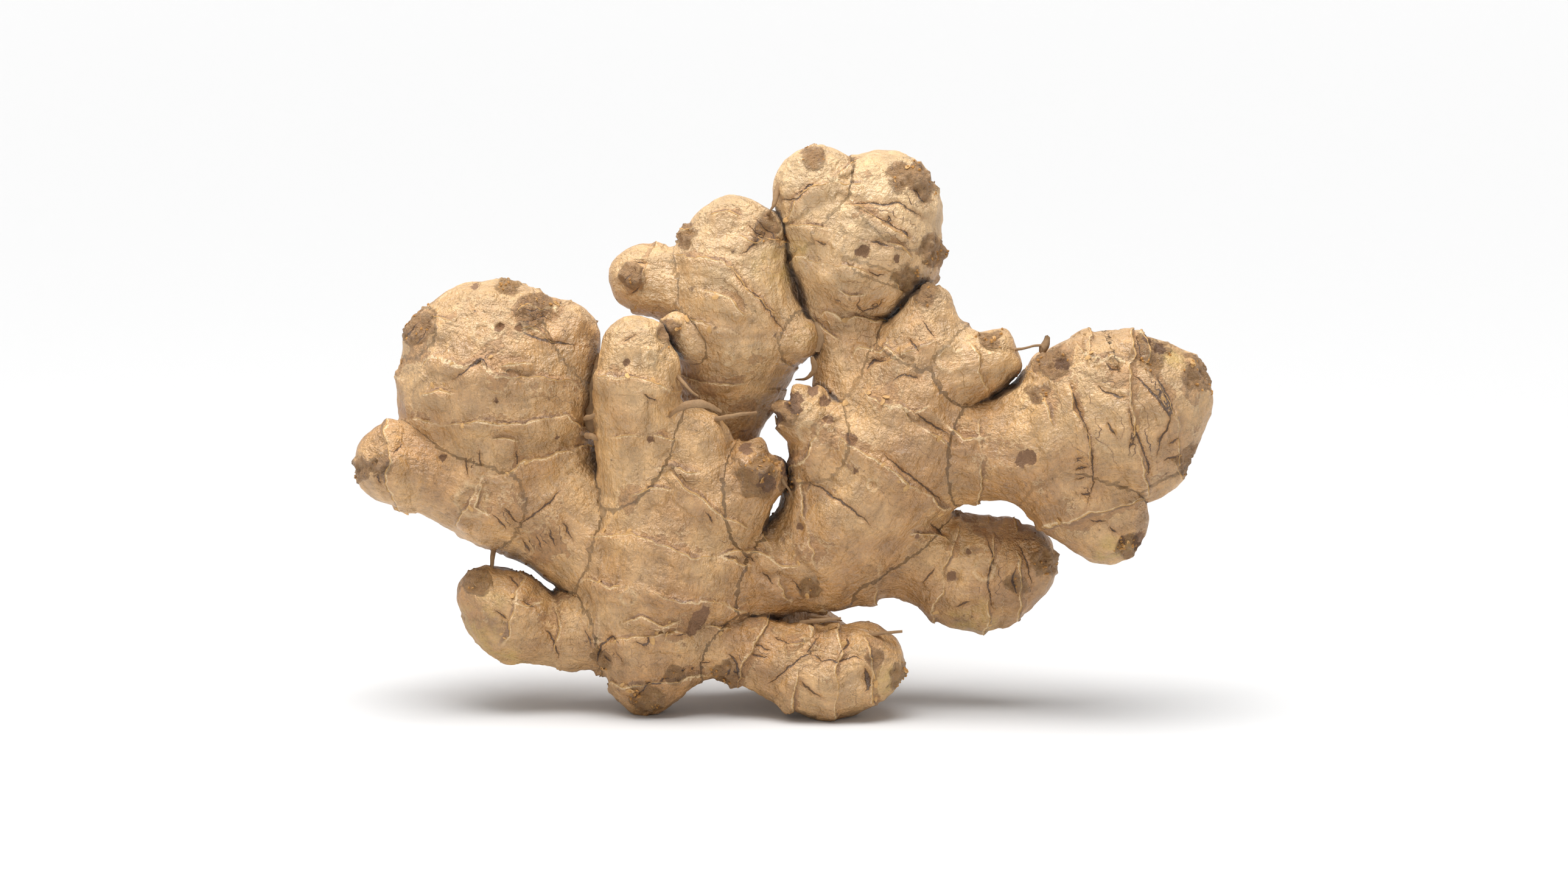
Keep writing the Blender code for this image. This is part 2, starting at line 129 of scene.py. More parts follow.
# Small pieces: spacings along their paths, broken hairs and how deep they sit, how flat the
# sheaths are, and bits for each square metre.
EDGE_SPACING, HAIR_SPACING, SHEATH_SPACING = 0.32, 0.6, 0.45
STUB_SUNK = 0.8
STUBS = 26
SHEATH_THICKNESS = 0.3
FLAKES = 1.6e5
GRAINS = 6.0e5
CRUMBS = 5.0e5
# Front-view point that the camera aims at, its sensor, where the lights come from, and the
# floor's rim.
SENSOR_WIDTH = 36.0
AIM_ACROSS, AIM_UP = 0.405, 61.56
OVERHEAD_FROM = (0.0, -0.12, 1.0)
SOFTBOX_PLACE, SOFTBOX_SIZE = (-0.12, -0.08, 0.4), 0.36
LIT_POINT = (0, 0, 0.06)
FLOOR_RADIUS, RIM_BEND, RIM_STEPS, FLOOR_SIDES = 4.5, 3.0, 16, 64

# Each lobe: the lobe it grew from, how widely it melts into that one, its depth over its width,
# and its spine as (across, up, depth, half width) in the front view.
LOBES = {
    "stem": (None, 0.0, 0.88, (
        (-31, 5.2, -4, 5.3), (-29, 12, -4, 10.3), (-28, 22, -2, 15.5), (-26, 34, 0, 19.5),
        (-22, 46, -2, 15.5), (-19.5, 56, -5, 9), (-19.3, 60.5, -6, 7.5))),
    "stem_heel": ("stem", 2.5, 1.0, ((-31, 14, -4, 8), (-33.1, 9.2, -4, 4.9))),
    "left_finger": ("stem", 5.0, 0.85, (
        (-34, 35, 1, 13), (-46, 42.5, 2, 13.6), (-57.2, 52.6, 3, 16.2), (-62.2, 64, 4, 18.2),
        (-64.6, 75, 4, 21.4), (-65, 85.4, 4, 11.7))),
    "left_shoulder": ("left_finger", 3.5, 0.95, ((-56, 74, 3, 12), (-50.7, 83.4, 2, 9.8))),
    "left_bud": ("left_finger", 2.0, 0.95, ((-70, 76, 2, 12), (-75.6, 82.6, 0, 8.6))),
    "left_knob": ("left_finger", 3.5, 0.95, (
        (-64, 51, 0, 13), (-76, 54.8, -2, 9.9), (-86.1, 56.4, -4, 8.9))),
    "low_left_finger": ("stem", 3.0, 0.95, (
        (-36, 22, 1, 12), (-50, 19, 0, 8.3), (-60, 21.6, -2, 9), (-62.4, 24, -3, 8))),
    "low_left_bud": ("low_left_finger", 2.5, 1.0, ((-62, 25, -3, 8), (-66.6, 28, -4, 5.9))),
    "short_finger": ("stem", 8.0, 0.95, (
        (-29, 44, -2, 10), (-31.8, 56, -5, 8.5), (-32.4, 70, -7, 8.9), (-32.8, 82.3, -7, 7.3))),
    "short_shoulder": ("short_finger", 2.5, 1.0, ((-30, 74, -7, 7), (-28.2, 78, -8, 5.3))),
    "back_finger": ("stem", 3.0, 0.92, (
        (-16, 50, 9, 9.5), (-15.6, 62, 10, 9.2), (-12.3, 75, 9, 11.2), (-9.6, 87, 7, 14.8),
        (-11.2, 97.5, 5, 13.7), (-10.6, 106.6, 5, 9.8))),
    "back_knob": ("back_finger", 2.5, 1.0, ((-22, 96, 6, 8), (-31, 98.2, 7, 7.1))),
    "back_cheek": ("back_finger", 3.0, 1.0, ((-1, 86, 3, 7), (3.8, 84.3, 0, 4.2))),
    "back_crest": ("back_finger", 2.0, 1.0, ((-6, 106, 3, 6), (-3.2, 109, 2, 3.4))),
    "back_eye": ("back_finger", 1.5, 1.0, ((-20, 83.5, -2, 4), (-23.8, 87, -4, 2.6))),
    "right_arm": ("stem", 6.0, 0.88, (
        (-14, 31, 0, 12), (0, 33.5, 0, 10.8), (10, 38.5, 0, 13.3), (19, 50, 0, 17),
        (25.5, 61.5, 0, 17.2), (29, 72, 0, 14.3))),
    "arm_stump": ("right_arm", 3.0, 0.95, ((14, 58, -2, 12), (8.5, 64, -5, 7.6), (5.8, 67, -6, 6.8))),
    "top_finger": ("right_arm", 4.0, 0.88, (
        (18, 74, 2, 11), (15.5, 86, 5, 9), (14.2, 96.2, 7, 11.8), (17.6, 105, 7, 16.6))),
    "top_left_dome": ("top_finger", 5.0, 0.95, ((12, 108, 6, 11), (8.1, 116.8, 5, 9.9))),
    "top_right_dome": ("top_finger", 5.0, 0.95, ((19, 106, 7, 15), (22.3, 113.1, 7, 13))),
    "top_wart": ("top_finger", 1.5, 1.0, ((27, 99, 4, 4), (30.2, 98.8, 4, 2.2))),
    "crest": ("right_arm", 4.0, 0.9, ((29, 70, 0, 13), (31.5, 82, -2, 9.2), (33.2, 91.3, -3, 4.7))),
    "crest_knob": ("crest", 5.0, 1.0, ((38, 77, -3, 9), (46, 79.4, -5, 6.4))),
    "right_finger": ("right_arm", 5.0, 0.85, (
        (35, 61, -1, 12.6), (48, 60, -4, 11.7), (60, 62, -6, 14.8), (70.5, 67.3, -7, 18),
        (76, 68.3, -7, 17.3), (82.4, 71.3, -7, 12.1))),
    "right_knob": ("right_finger", 3.0, 0.95, ((66, 53, -6, 13.9), (71.9, 44.3, -7, 9.5))),
    "right_heel": ("right_finger", 3.0, 0.95, ((76, 62, -7, 12), (81, 56, -7, 7.6))),
    "low_right_finger": ("right_arm", 4.5, 0.9, (
        (12, 37.5, 0, 12), (26, 36.8, 2, 9.5), (37, 34.2, 3, 11.1), (44, 31.9, 3, 12.9),
        (53, 34, 2, 8.8))),
    "front_finger": ("stem", 3.5, 0.95, (
        (-18, 18, -2, 9), (-5, 13.9, -6, 7.9), (4, 11, -8, 9.2), (11.2, 9.8, -8, 9.8),
        (18.5, 11.9, -9, 8.4))),
    "middle_stump": ("stem", 3.0, 1.0, ((-14, 44, -3, 10), (-7.2, 53.6, -6, 7.1))),
    "rear_foot": ("stem", 4.0, 1.0, (
        (-12, 28, 8, 11), (2, 18.5, 15, 8.5), (12, 11.5, 20, 7.6), (16, 10.3, 22, 7))),
    "rear_left_knob": ("left_finger", 3.5, 1.0, ((-60, 62, 8, 11), (-56, 58, 19, 8.5))),
    "rear_right_knob": ("right_arm", 3.5, 1.0, ((22, 54, 6, 12), (28, 52, 18, 8.5))),
    "rear_top_bud": ("top_finger", 2.5, 1.0, ((20, 103, 12, 9), (23, 101, 20, 6))),
}

# Rings of torn scale leaf, each on one lobe and through points (across, up) of the front view.
RINGS = (
    ("left_finger", (-66, 54), (-42, 61)),
    ("left_finger", (-80, 66), (-77.3, 66), (-73, 66.3), (-70.4, 65.7), (-67.8, 66.2), (-64.5, 66.3),
     (-62.5, 65.5), (-55.3, 66.2), (-52.4, 66.7), (-50.8, 66), (-48.2, 67.5), (-45, 65.4)),
    ("left_finger", (-83, 76), (-80.4, 77.5), (-75.8, 80.1), (-73, 79.1), (-70, 77.5), (-66.1, 79.1),
     (-64.8, 77.1), (-62.9, 76), (-58.9, 75.7), (-52.1, 75.7), (-49.1, 75), (-44.5, 73.5)),
    ("left_finger", (-74, 88), (-62, 84.6), (-56, 86.5), (-50, 83.6), (-45, 82.6)),
    ("left_knob", (-72, 44), (-66, 54)), ("left_knob", (-86, 48), (-88, 65)),
    ("left_bud", (-84, 77), (-72, 82)), ("stem", (-48, 40), (-33, 41.5), (-18, 36)),
    ("stem", (-45, 30), (-35.5, 29.8), (-31.8, 28.9), (-26.7, 27.5), (-17.8, 26.3), (-12, 25)),
    ("stem", (-41, 17), (-15, 20)), ("stem", (-38, 7), (-22, 9)), ("stem", (-27, 56), (-12, 55)),
    ("low_left_finger", (-50, 11), (-51, 29)), ("low_left_finger", (-63, 12), (-58, 33)),
    ("low_left_finger", (-41, 10), (-41, 22)),
    ("short_finger", (-42, 77), (-33, 75.5), (-24, 73)), ("short_finger", (-42, 63), (-25, 62)),
    ("back_finger", (-25, 103), (-19.6, 101.6), (-16.7, 102.1), (-13.8, 101.4), (-11.3, 99.6),
     (-7.6, 95.4), (-4.7, 93), (-2.7, 90.1), (2, 84)),
    ("back_finger", (-25, 89), (-12, 85.5), (2, 78)), ("back_finger", (-22, 76), (-1, 73)),
    ("back_finger", (-22, 109), (-2, 106)), ("back_knob", (-33, 91), (-29, 104)),
    ("top_finger", (1, 101.4), (4.8, 102.1), (7.3, 101.2), (13.9, 100.4), (17.2, 99), (20.9, 97.5),
     (30, 94)),
    ("top_finger", (3, 91), (23, 88)), ("top_right_dome", (8, 116), (20, 111.4), (32, 105)),
    ("top_left_dome", (-1, 110), (5, 116), (12, 120)),
    ("right_arm", (8, 66), (36, 47)), ("right_arm", (20, 72), (42, 58)),
    ("right_arm", (-5, 42), (2, 24)), ("right_arm", (6, 41), (9, 25)),
    ("crest", (22, 78), (31, 83.5), (42, 86)), ("crest_knob", (41, 86), (45, 73)),
    ("right_finger", (44, 50), (44, 72)),
    ("right_finger", (54, 79), (57.1, 70.3), (59.5, 63.9), (62.2, 57.4), (61, 47)),
    ("right_finger", (67.6, 86), (68.4, 82.5), (63.5, 76), (63, 74.1), (64.1, 68.7), (66.6, 64.9),
     (67.6, 60.1), (68, 50)),
    ("right_finger", (76.8, 86.8), (76.8, 77.4), (75.7, 69.8), (76.5, 64.9), (78.4, 60.1), (80.3, 52)),
    ("right_finger", (80, 84), (80.5, 76), (84.1, 70.9), (86.8, 64.9), (88, 57)),
    ("right_knob", (62, 44), (80, 49)),
    ("low_right_finger", (21.5, 46), (21.5, 26)), ("low_right_finger", (40, 46), (34, 22)),
    ("low_right_finger", (47, 46), (46, 20)), ("low_right_finger", (53, 44), (53, 22)),
    ("front_finger", (-10, 7), (-3, 22)), ("front_finger", (2, 3), (7, 21)),
    ("front_finger", (12, 1), (13, 20)), ("front_finger", (20, 3), (19, 20)),
    ("rear_foot", (2, 8), (10, 22)), ("arm_stump", (4, 57), (13, 70)),
)

# Bud scars, eyes and torn ends: (across, up, side, radius, height), where side is -1 on the front,
# 1 on the back and 0 right through, and a height below 0 is a dent.
MARKS = (
    (-17.5, 21, -1, 3.4, -1.4), (17.4, 103.5, -1, 2.6, -1.1), (37.8, 31.6, -1, 2.6, -1.2),
    (15.2, 62, -1, 3.2, 1.0), (18.6, 9, -1, 1.8, -1.3), (-65, 93, -1, 2.8, 1.2),
    (-51, 89, -1, 2.2, -1.0), (-4, 54, -1, 2.0, 1.6), (-8, 57, -1, 1.8, 1.4),
    (79, 66, -1, 2.4, -1.0), (70, 80, -1, 3.0, 1.0), (-87, 57, -1, 2.4, 1.3),
    (-33, 98, -1, 2.6, 1.2), (33, 72, -1, 3.0, 1.0), (-62, 27, -1, 2.4, 1.2),
    (-28, 30, 1, 4.0, 1.4), (-63, 78, 1, 3.4, -1.2), (20, 108, 1, 3.2, 1.3),
    (74, 70, 1, 3.6, -1.2), (-12, 92, 1, 3.2, 1.3), (46, 34, 1, 3.2, -1.2),
    (-56, 58, 1, 3.0, 0.5), (28, 52, 1, 3.0, 0.9), (34, 66, 1, 3.4, -1.2),
    (-1, 69.4, 0, 1.9, 1.4), (3.2, 73, 0, 1.8, 1.3), (8, 73, 0, 1.8, 1.0), (0.9, 71.4, 0, 1.3, -1.0),
    (-1.4, 56, 0, 1.9, 1.5), (-5, 60.4, 0, 1.9, 1.5), (-0.4, 51.6, 0, 1.8, 1.2),
    (-3.2, 58.6, 0, 1.4, -1.0), (-9.6, 60.4, 0, 1.8, 1.0), (49, 84.4, 0, 2.0, 1.2),
    (51.8, 78, 0, 1.9, 1.1), (-56, 93.4, 0, 2.6, 1.2), (-46, 88, 0, 2.4, 1.0), (57, 79, 0, 2.4, 1.3),
    (29.4, 119.6, 0, 2.6, 1.1), (33.4, 113, 0, 2.2, 0.9), (90.6, 79, 0, 2.4, 1.0),
)

# Cracks and folds of the front skin: half width, then points (across, up) of the front view.
CRACKS = (
    (0.30, (-72, 75.2), (-70, 76.8), (-67.8, 78.4), (-65.8, 79.7), (-64.8, 77.5)),
    (0.34, (-57.6, 86), (-55.7, 85.1), (-53, 84), (-51.1, 83.7), (-48.8, 83.5), (-45.8, 83)),
    (0.20, (-59.6, 89.8), (-57.5, 91.2), (-55.2, 90.4), (-52.6, 91), (-50.2, 89.6)),
    (0.18, (-58.6, 88.4), (-55.8, 88), (-53, 89.2), (-51, 88.2)),
    (0.26, (-84, 84.5), (-82.2, 86), (-80.8, 87.8)), (0.2, (-81.5, 82.5), (-79.4, 84.6), (-78, 87.4)),
    (0.22, (-68.5, 90.9), (-67.4, 90.2)), (0.2, (-69.5, 54), (-70.2, 57.8)),
    (0.2, (-66.4, 56), (-67.2, 59.6)), (0.18, (-58.5, 55.5), (-58.8, 60)),
    (0.28, (-8.9, 102.9), (-6.8, 104.9), (-4.7, 106.6), (-3.5, 107.2)),
    (0.24, (-11.3, 99.4), (-7.6, 95.2), (-4.7, 92.8), (-2.7, 89.9), (0.6, 85.7)),
    (0.22, (-6, 110.8), (-4.2, 109), (-2.2, 107.4), (-0.8, 105.8)),
    (0.24, (-7.4, 109.4), (-5.6, 107.6), (-3.4, 106.2)),
    (0.3, (-0.2, 115.1), (3.1, 115.1), (4.8, 116.7), (6.4, 118.4), (8.1, 117.6)),
    (0.2, (16.8, 113), (20.1, 111.4), (23.8, 109.3), (26.3, 108), (28.3, 106.2)),
    (0.3, (23.2, 111), (24, 110.4)), (0.34, (26, 108.4), (28.2, 106.6)),
    (0.24, (15.1, 114.1), (18.8, 114), (22.1, 113.8), (25.8, 114.2), (28.3, 112.8), (30.8, 111.2)),
    (0.3, (19.2, 105.6), (21.3, 105.4), (23.8, 104.5)), (0.24, (7.3, 106.2), (9.7, 104.9)),
    (0.2, (17.4, 93.8), (16.6, 91.6), (18.2, 90.4), (21.6, 91.4), (23, 93.6)),
    (0.2, (11.4, 93.4), (13, 92.3)), (0.2, (19.5, 91.9), (20.8, 92.3)),
    (0.22, (19, 99.2), (20.6, 98), (22.6, 98.6)), (0.24, (28.6, 117.4), (31.6, 114.4)),
    (0.26, (63, 74.4), (63.4, 72.2), (64.3, 70), (65.4, 66.3), (66.9, 63.3), (67.7, 59.6), (68, 55.9),
     (68.4, 52.2), (66.9, 46.6)),
    (0.26, (75.8, 68.9), (76.2, 65.5), (76.9, 63.7), (78.8, 60), (80.2, 57), (80.4, 54.8), (79.5, 53.3)),
    (0.34, (76.5, 76.5), (78.8, 74.4), (81.4, 71.8), (83.2, 69.2), (84.7, 67.4), (85.6, 66.6)),
    (0.45, (81.7, 75.5), (83.2, 72.9), (84.1, 71.1), (85.1, 68.9), (85.6, 67)),
    (0.28, (68.8, 73.9), (71, 72.2), (73.2, 71.3), (74.7, 71.1)), (0.3, (70.8, 65.7), (72.7, 62.8)),
    (0.24, (76.4, 63.6), (76.2, 60.9), (77.3, 63.3)),
    (0.24, (85.4, 67), (84, 64.1), (82.5, 61.5), (81.9, 58.5)),
    (0.26, (64.3, 57.6), (65.8, 57.8)), (0.26, (64.3, 55.7), (66.9, 55.9)),
    (0.34, (65.4, 50.2), (68, 50)), (0.2, (64.6, 53.2), (66.4, 53.8)),
    (0.22, (70.6, 78.8), (71.8, 77), (74, 77.6)), (0.22, (67.3, 44.2), (71.4, 43.9)),
    (0.28, (72.1, 42.9), (73.6, 41.5)), (0.2, (78, 86.2), (78.2, 81.8), (78.6, 78.1)),
    (0.24, (84.8, 61), (87, 62.4)), (0.24, (84, 57.6), (87.4, 58.6)),
    (0.3, (-41.1, 11.2), (-41.3, 13.6), (-40.2, 16.6), (-37.4, 18.2), (-36.2, 16.4)),
    (0.3, (-32.7, 17.3), (-30.4, 16.1), (-29.5, 17.3), (-29.9, 18.7)),
    (0.28, (-35, 4.7), (-32.7, 4.5), (-31.3, 6.1), (-29.9, 7.7), (-27.6, 7.7), (-26.2, 8.9), (-24.8, 8.9)),
    (0.34, (-22.4, 10.6), (-21.6, 11)), (0.3, (-20.4, 10.9), (-19.8, 11.2)),
    (0.24, (-18.3, 11.9), (-16, 12.6)),
    (0.24, (-39.8, 14), (-38, 12.4)), (0.2, (-37, 15), (-35.6, 12.6)), (0.22, (-24, 18.6), (-21.4, 18.8)),
    (0.3, (-12.3, 14.5), (-10.4, 12.6), (-9.5, 8)), (0.3, (-11.4, 11), (-12.6, 9.4)),
    (0.24, (-3.4, 7.5), (-0.6, 9.4), (2.6, 12.6), (5.4, 14.7), (6.3, 15.9), (8.7, 19.1)),
    (0.22, (5.4, 15), (8.2, 13.3), (12.4, 12.9), (16.1, 13.8), (18, 13.6)),
    (0.26, (14.2, 18.2), (14.5, 16.4), (12.6, 14.7)), (0.55, (18.4, 11.2), (19.1, 8.9), (18.9, 6.6)),
    (0.22, (-6, 16.5), (-2.5, 15)), (0.22, (-7, 14.4), (-3, 13.4)), (0.2, (-2, 18.2), (1.8, 16.4)),
    (0.2, (5.5, 7), (8.6, 4.8)), (0.2, (4.2, 8.4), (6.4, 6.2)),
    (0.26, (-58, 43), (-55, 45.4), (-51.6, 48), (-49, 51)), (0.24, (-64, 45.5), (-61, 42)),
    (0.24, (-61.5, 47), (-58.5, 43.4)), (0.24, (-55, 41), (-53.4, 37.6)),
    (0.24, (-52, 42.4), (-50.4, 38.4)),
    (0.24, (-57.8, 39.8), (-56.4, 37)), (0.22, (-48.6, 44), (-46.6, 39.4)),
    (0.26, (5, 53), (8.6, 51.2), (12, 49), (16, 46.4), (20, 43)), (0.24, (22, 59), (29, 53.4), (36, 48)),
    (0.26, (29, 68), (33, 65.4), (37, 63)), (0.24, (24.4, 74.6), (27, 76.4), (30.5, 75.4)),
    (0.28, (18.6, 77.4), (20.4, 79.6), (23.2, 79.2)), (0.24, (31, 88), (33.6, 84.6)),
    (0.24, (28, 84), (30.4, 81.4)), (0.22, (52.4, 39), (54.8, 34.4), (55.8, 29)),
    (0.34, (52, 33.6), (51.4, 30), (52.6, 27.4)), (0.24, (45.4, 41), (46.8, 36), (45.8, 29.8), (47, 24)),
    (0.24, (33, 43.6), (36.2, 40)), (0.22, (31.4, 30), (34, 33.4)), (0.22, (38.4, 24.6), (42, 26)),
    (0.26, (-53, 20), (-51, 17), (-50, 13)), (0.24, (-61, 31.6), (-58.6, 29)),
    (0.22, (-64, 24), (-61, 22)), (0.22, (-44, 20), (-42.4, 15.4)), (0.24, (-57.6, 26), (-55, 24.4)),
    (0.26, (-17, 46), (-15, 43.6)), (0.22, (-9, 37), (-6, 34.6)), (0.22, (-4.6, 33), (-2, 29.6)),
    (0.22, (2.2, 31), (4.6, 28)), (0.22, (-86, 58.6), (-84, 60.8)), (0.24, (-89.6, 55), (-88.8, 52)),
    (0.2, (-35.6, 97), (-33, 99)), (0.2, (-34, 94.4), (-31.4, 96)), (0.2, (-33.4, 101.6), (-30, 101)),
    (0.22, (-30.5, 72), (-27.6, 70.4)), (0.22, (-35, 83.4), (-32.4, 84.6)),
)
# How the same cracks are moved to make those of the back: across and up.
BACK_MOVE = (6.5, -4.0)

# Patches of the skin: (across, up, side, radius), where side is -1 on the front, 1 on the back
# and 0 all the way round.
CORK_PATCHES = (
    (-55, 90.5, 0, 5), (-81.5, 87, 0, 5.5), (-61, 96.5, 0, 3.5), (-88.5, 56.5, -1, 3.2),
    (-94, 55, 0, 3), (-4, 108.4, 0, 4), (-22, 108, 0, 3.6), (-33.5, 98.5, -1, 3.4), (30.5, 119, 0, 5),
    (7, 124.5, 0, 3.5), (26, 120, -1, 4), (33.5, 104, 0, 4), (28, 97.5, 0, 4), (-5.5, 54, 0, 5.5),
    (1, 67.5, 0, 4), (1, 52, -1, 2.6), (92, 76, 0, 5), (90.5, 57, 0, 4.5), (59, 79.5, -1, 4.5),
    (81, 81, -1, 5), (56, 72, -1, 3), (31, 95, 0, 4), (46, 84, -1, 3), (26.5, 9.5, 0, 3.6),
    (-68, 31, -1, 4), (-40.5, 13, -1, 3), (-30, 4, 0, 4.2), (-24, 9.4, -1, 2.6), (59, 35, 0, 4),
    (77, 38, 0, 3.5), (-12, 9.5, -1, 3.5), (-25, 86, -1, 3), (20.5, 14, -1, 2.4), (52, 30, -1, 3),
    (6, 29, -1, 2.6),
    (-28, 30, 1, 6), (20, 108, 1, 5), (-12, 92, 1, 5), (-47, 60, 1, 4), (28, 52, 1, 4),
    (74, 70, 1, 5), (-64, 82, 1, 5), (44, 34, 1, 5), (16, 10, 1, 4), (34, 70, 1, 4),
)
FRESH_PATCHES = (
    (-1.4, 99.5, -1, 4.6), (5, 85.6, -1, 3), (74, 36.8, 0, 5.5), (23.5, 8.4, -1, 4.6),
    (42, 19, 0, 7), (-67, 20, 0, 8), (2.6, 103.6, -1, 3), (-62, 12.5, 0, 5), (86, 80, -1, 4),
    (25, 101, 1, 6), (-60, 70, 1, 8), (48, 30, 1, 7), (-14, 84, 1, 5),
)
SCARS = (
    (2.6, 70, 0, 2.6), (-1.6, 66.4, 0, 2.0), (-3.4, 52.6, 0, 2.4), (0.4, 58.4, 0, 1.8),
    (-20.2, 19.7, -1, 1.5), (-19.2, 21.1, -1, 1.8), (-18.2, 22.5, -1, 1.7), (-17, 23.9, -1, 1.2),
    (6.8, 72.6, 0, 1.5), (-8, 60, 0, 1.5), (0.8, 54.8, -1, 1.4), (10.4, 66.4, -1, 1.2),
    (83, 82, -1, 1.6), (80.4, 84, -1, 1.2), (18, 103.3, -1, 1.7), (25.2, 101.8, -1, 1.0),
    (79.2, 39.4, -1, 2.2), (75.1, 39.9, -1, 1.0), (-57.8, 86.6, -1, 0.9), (-62.2, 86.9, -1, 1.1),
    (-75.1, 58, -1, 0.8), (-62.9, 70.4, -1, 0.7), (-50.1, 62.4, -1, 0.5), (37.8, 31.6, -1, 1.5),
    (41.5, 37, -1, 0.9), (-68.3, 96, 0, 1.1), (61.5, 78.6, -1, 1.6), (53.6, 58, -1, 2.2),
    (15.2, 62, -1, 1.5), (9.4, 70.4, -1, 1.6), (16, 55, -1, 1.0), (-34, 79, -1, 1.0),
    (-29, 62, -1, 0.9), (4, 42.6, -1, 1.0), (30, 40.6, -1, 0.9), (-63, 78, 1, 2.4),
    (74, 62, 1, 2.0), (20, 70, 1, 1.8), (-30, 46, 1, 2.0), (46, 34, 1, 1.6), (-12, 104, 1, 1.6),
)

# Short torn ledges between the rings, as points of the front view with the tip's side on the left.
LEDGES = (
    ((-76, 80.5), (-73, 79.6), (-70, 78), (-66.1, 79.6), (-64.8, 77.6), (-62.9, 76.5)),
    ((-62.6, 77.6), (-58.2, 78.8), (-54.8, 79.4)), ((-64.5, 61.9), (-61, 61.8), (-58, 61.1)),
    ((-59.5, 89), (-56.5, 92), (-53.4, 90.6), (-50.2, 91.6), (-49.6, 88.8)),
    ((0.5, 109.6), (5, 109.6), (10.9, 108.4)), ((12, 95.6), (15, 94), (19, 94.4)),
    ((14.9, 79.6), (16.9, 82.6), (21.5, 81.3), (22.8, 82.9), (28.1, 77.6)),
    ((5.7, 90.2), (9.6, 86.3), (13.5, 83.6)), ((-26, 56), (-20.1, 50.5), (-12.8, 44.4), (-5.5, 42)),
    ((-16, 34.7), (-10, 37.6), (-5.5, 37.1), (0, 33.6), (5.4, 34.7)),
    ((-36, 21), (-31, 22.6), (-26, 20.6), (-22, 22)), ((-34, 49), (-28, 51.6), (-24, 50.4)),
    ((-66, 53), (-68, 47), (-64, 44.4)), ((24, 70), (29, 68), (33, 70)), ((36, 66), (40, 62), (46, 63)),
    ((68, 78), (72, 80.6), (76, 79)), ((64, 84), (66.6, 80), (71, 79.4), (72, 75.4)),
    ((28, 40.6), (33, 41.4), (38, 38.4)), ((0, 16.4), (5, 17.4), (9, 15.4)),
    ((-18.6, 95), (-12, 93.4), (-7, 89)), ((-17, 111), (-12.6, 112.6), (-8, 111)),
    ((10, 121), (13.6, 117.6), (18.6, 118.6)), ((22, 105.6), (26, 104.6), (29.6, 101.4)),
    ((-80, 71.6), (-76, 73), (-72, 71.4)), ((-60, 26.4), (-56, 25), (-53, 26.2)),
)
# Round rims of fallen roots and leaves: (across, up, side, radius).
EYES = (
    (-66, 85.5, -1, 2.1), (-62.1, 86.9, -1, 1.4), (-57.9, 86.4, -1, 1.2), (5.3, 69.4, -1, 1.0),
    (5.8, 63.8, -1, 2.2), (-68.7, 48.4, -1, 3.4), (-29, 80, -1, 1.3), (37, 79.6, -1, 2.6),
    (45, 33, -1, 2.2), (-34, 27, -1, 1.6), (20, 52, -1, 1.3), (-12, 80, -1, 1.2), (-60, 73, 1, 2.4),
    (-30, 30, 1, 3.0), (22, 60, 1, 2.2), (68, 66, 1, 2.4), (14, 108, 1, 2.0), (-10, 96, 1, 1.8),
    (40, 36, 1, 1.8), (-50, 44, 1, 1.6),
)
# Root hairs: points (across, up, depth) of the front view and the radius at each.
HAIRS = (
    (((-64.6, 40, 1), (-64.8, 36, -3), (-65.4, 31.6, -4.6)), (0.7, 0.6, 0.35)),
    (((-0.4, 119, 2), (-2.2, 113.4, -2), (-3.8, 110.4, 2)), (0.8, 0.55, 0.45)),
    (((49.4, 81, -6), (52.8, 82, -8), (54.7, 82.4, -8), (57.6, 82.9, -8)), (0.5, 0.34, 0.3, 0.34)),
    (((57.4, 81.6, -8), (58.2, 83.1, -8), (58.6, 84.4, -8)), (1.1, 1.2, 0.8)),
    (((60.4, 77, -8), (58.6, 79.6, -8), (57.6, 82, -8)), (0.8, 0.6, 0.7)),
    (((16, 18.4, -9), (21, 18.8, -13), (26.6, 19.5, -13.6)), (0.8, 0.5, 0.35)),
    (((4, 21, -8), (8, 21.8, -12), (13, 22.4, -12)), (0.8, 0.5, 0.3)),
    (((-24.6, 77.4, -8), (-21, 73.6, -12), (-18.4, 71.4, -12)), (0.6, 0.45, 0.3)),
    (((-14.6, 66.6, -9), (-10, 67.4, -12), (-5.6, 68, -11)), (0.7, 0.5, 0.35)),
    (((-2.6, 57, -8), (0.6, 52.4, -10), (2.4, 49, -8)), (0.7, 0.5, 0.4)),
    (((-43.6, 66.6, -7), (-41.4, 67.4, -9.6), (-39.6, 68.2, -9)), (0.7, 0.6, 0.4)),
    (((-43.4, 63, -7), (-41.6, 62.6, -9.4), (-40, 61.8, -8)), (0.8, 0.75, 0.5)),
)
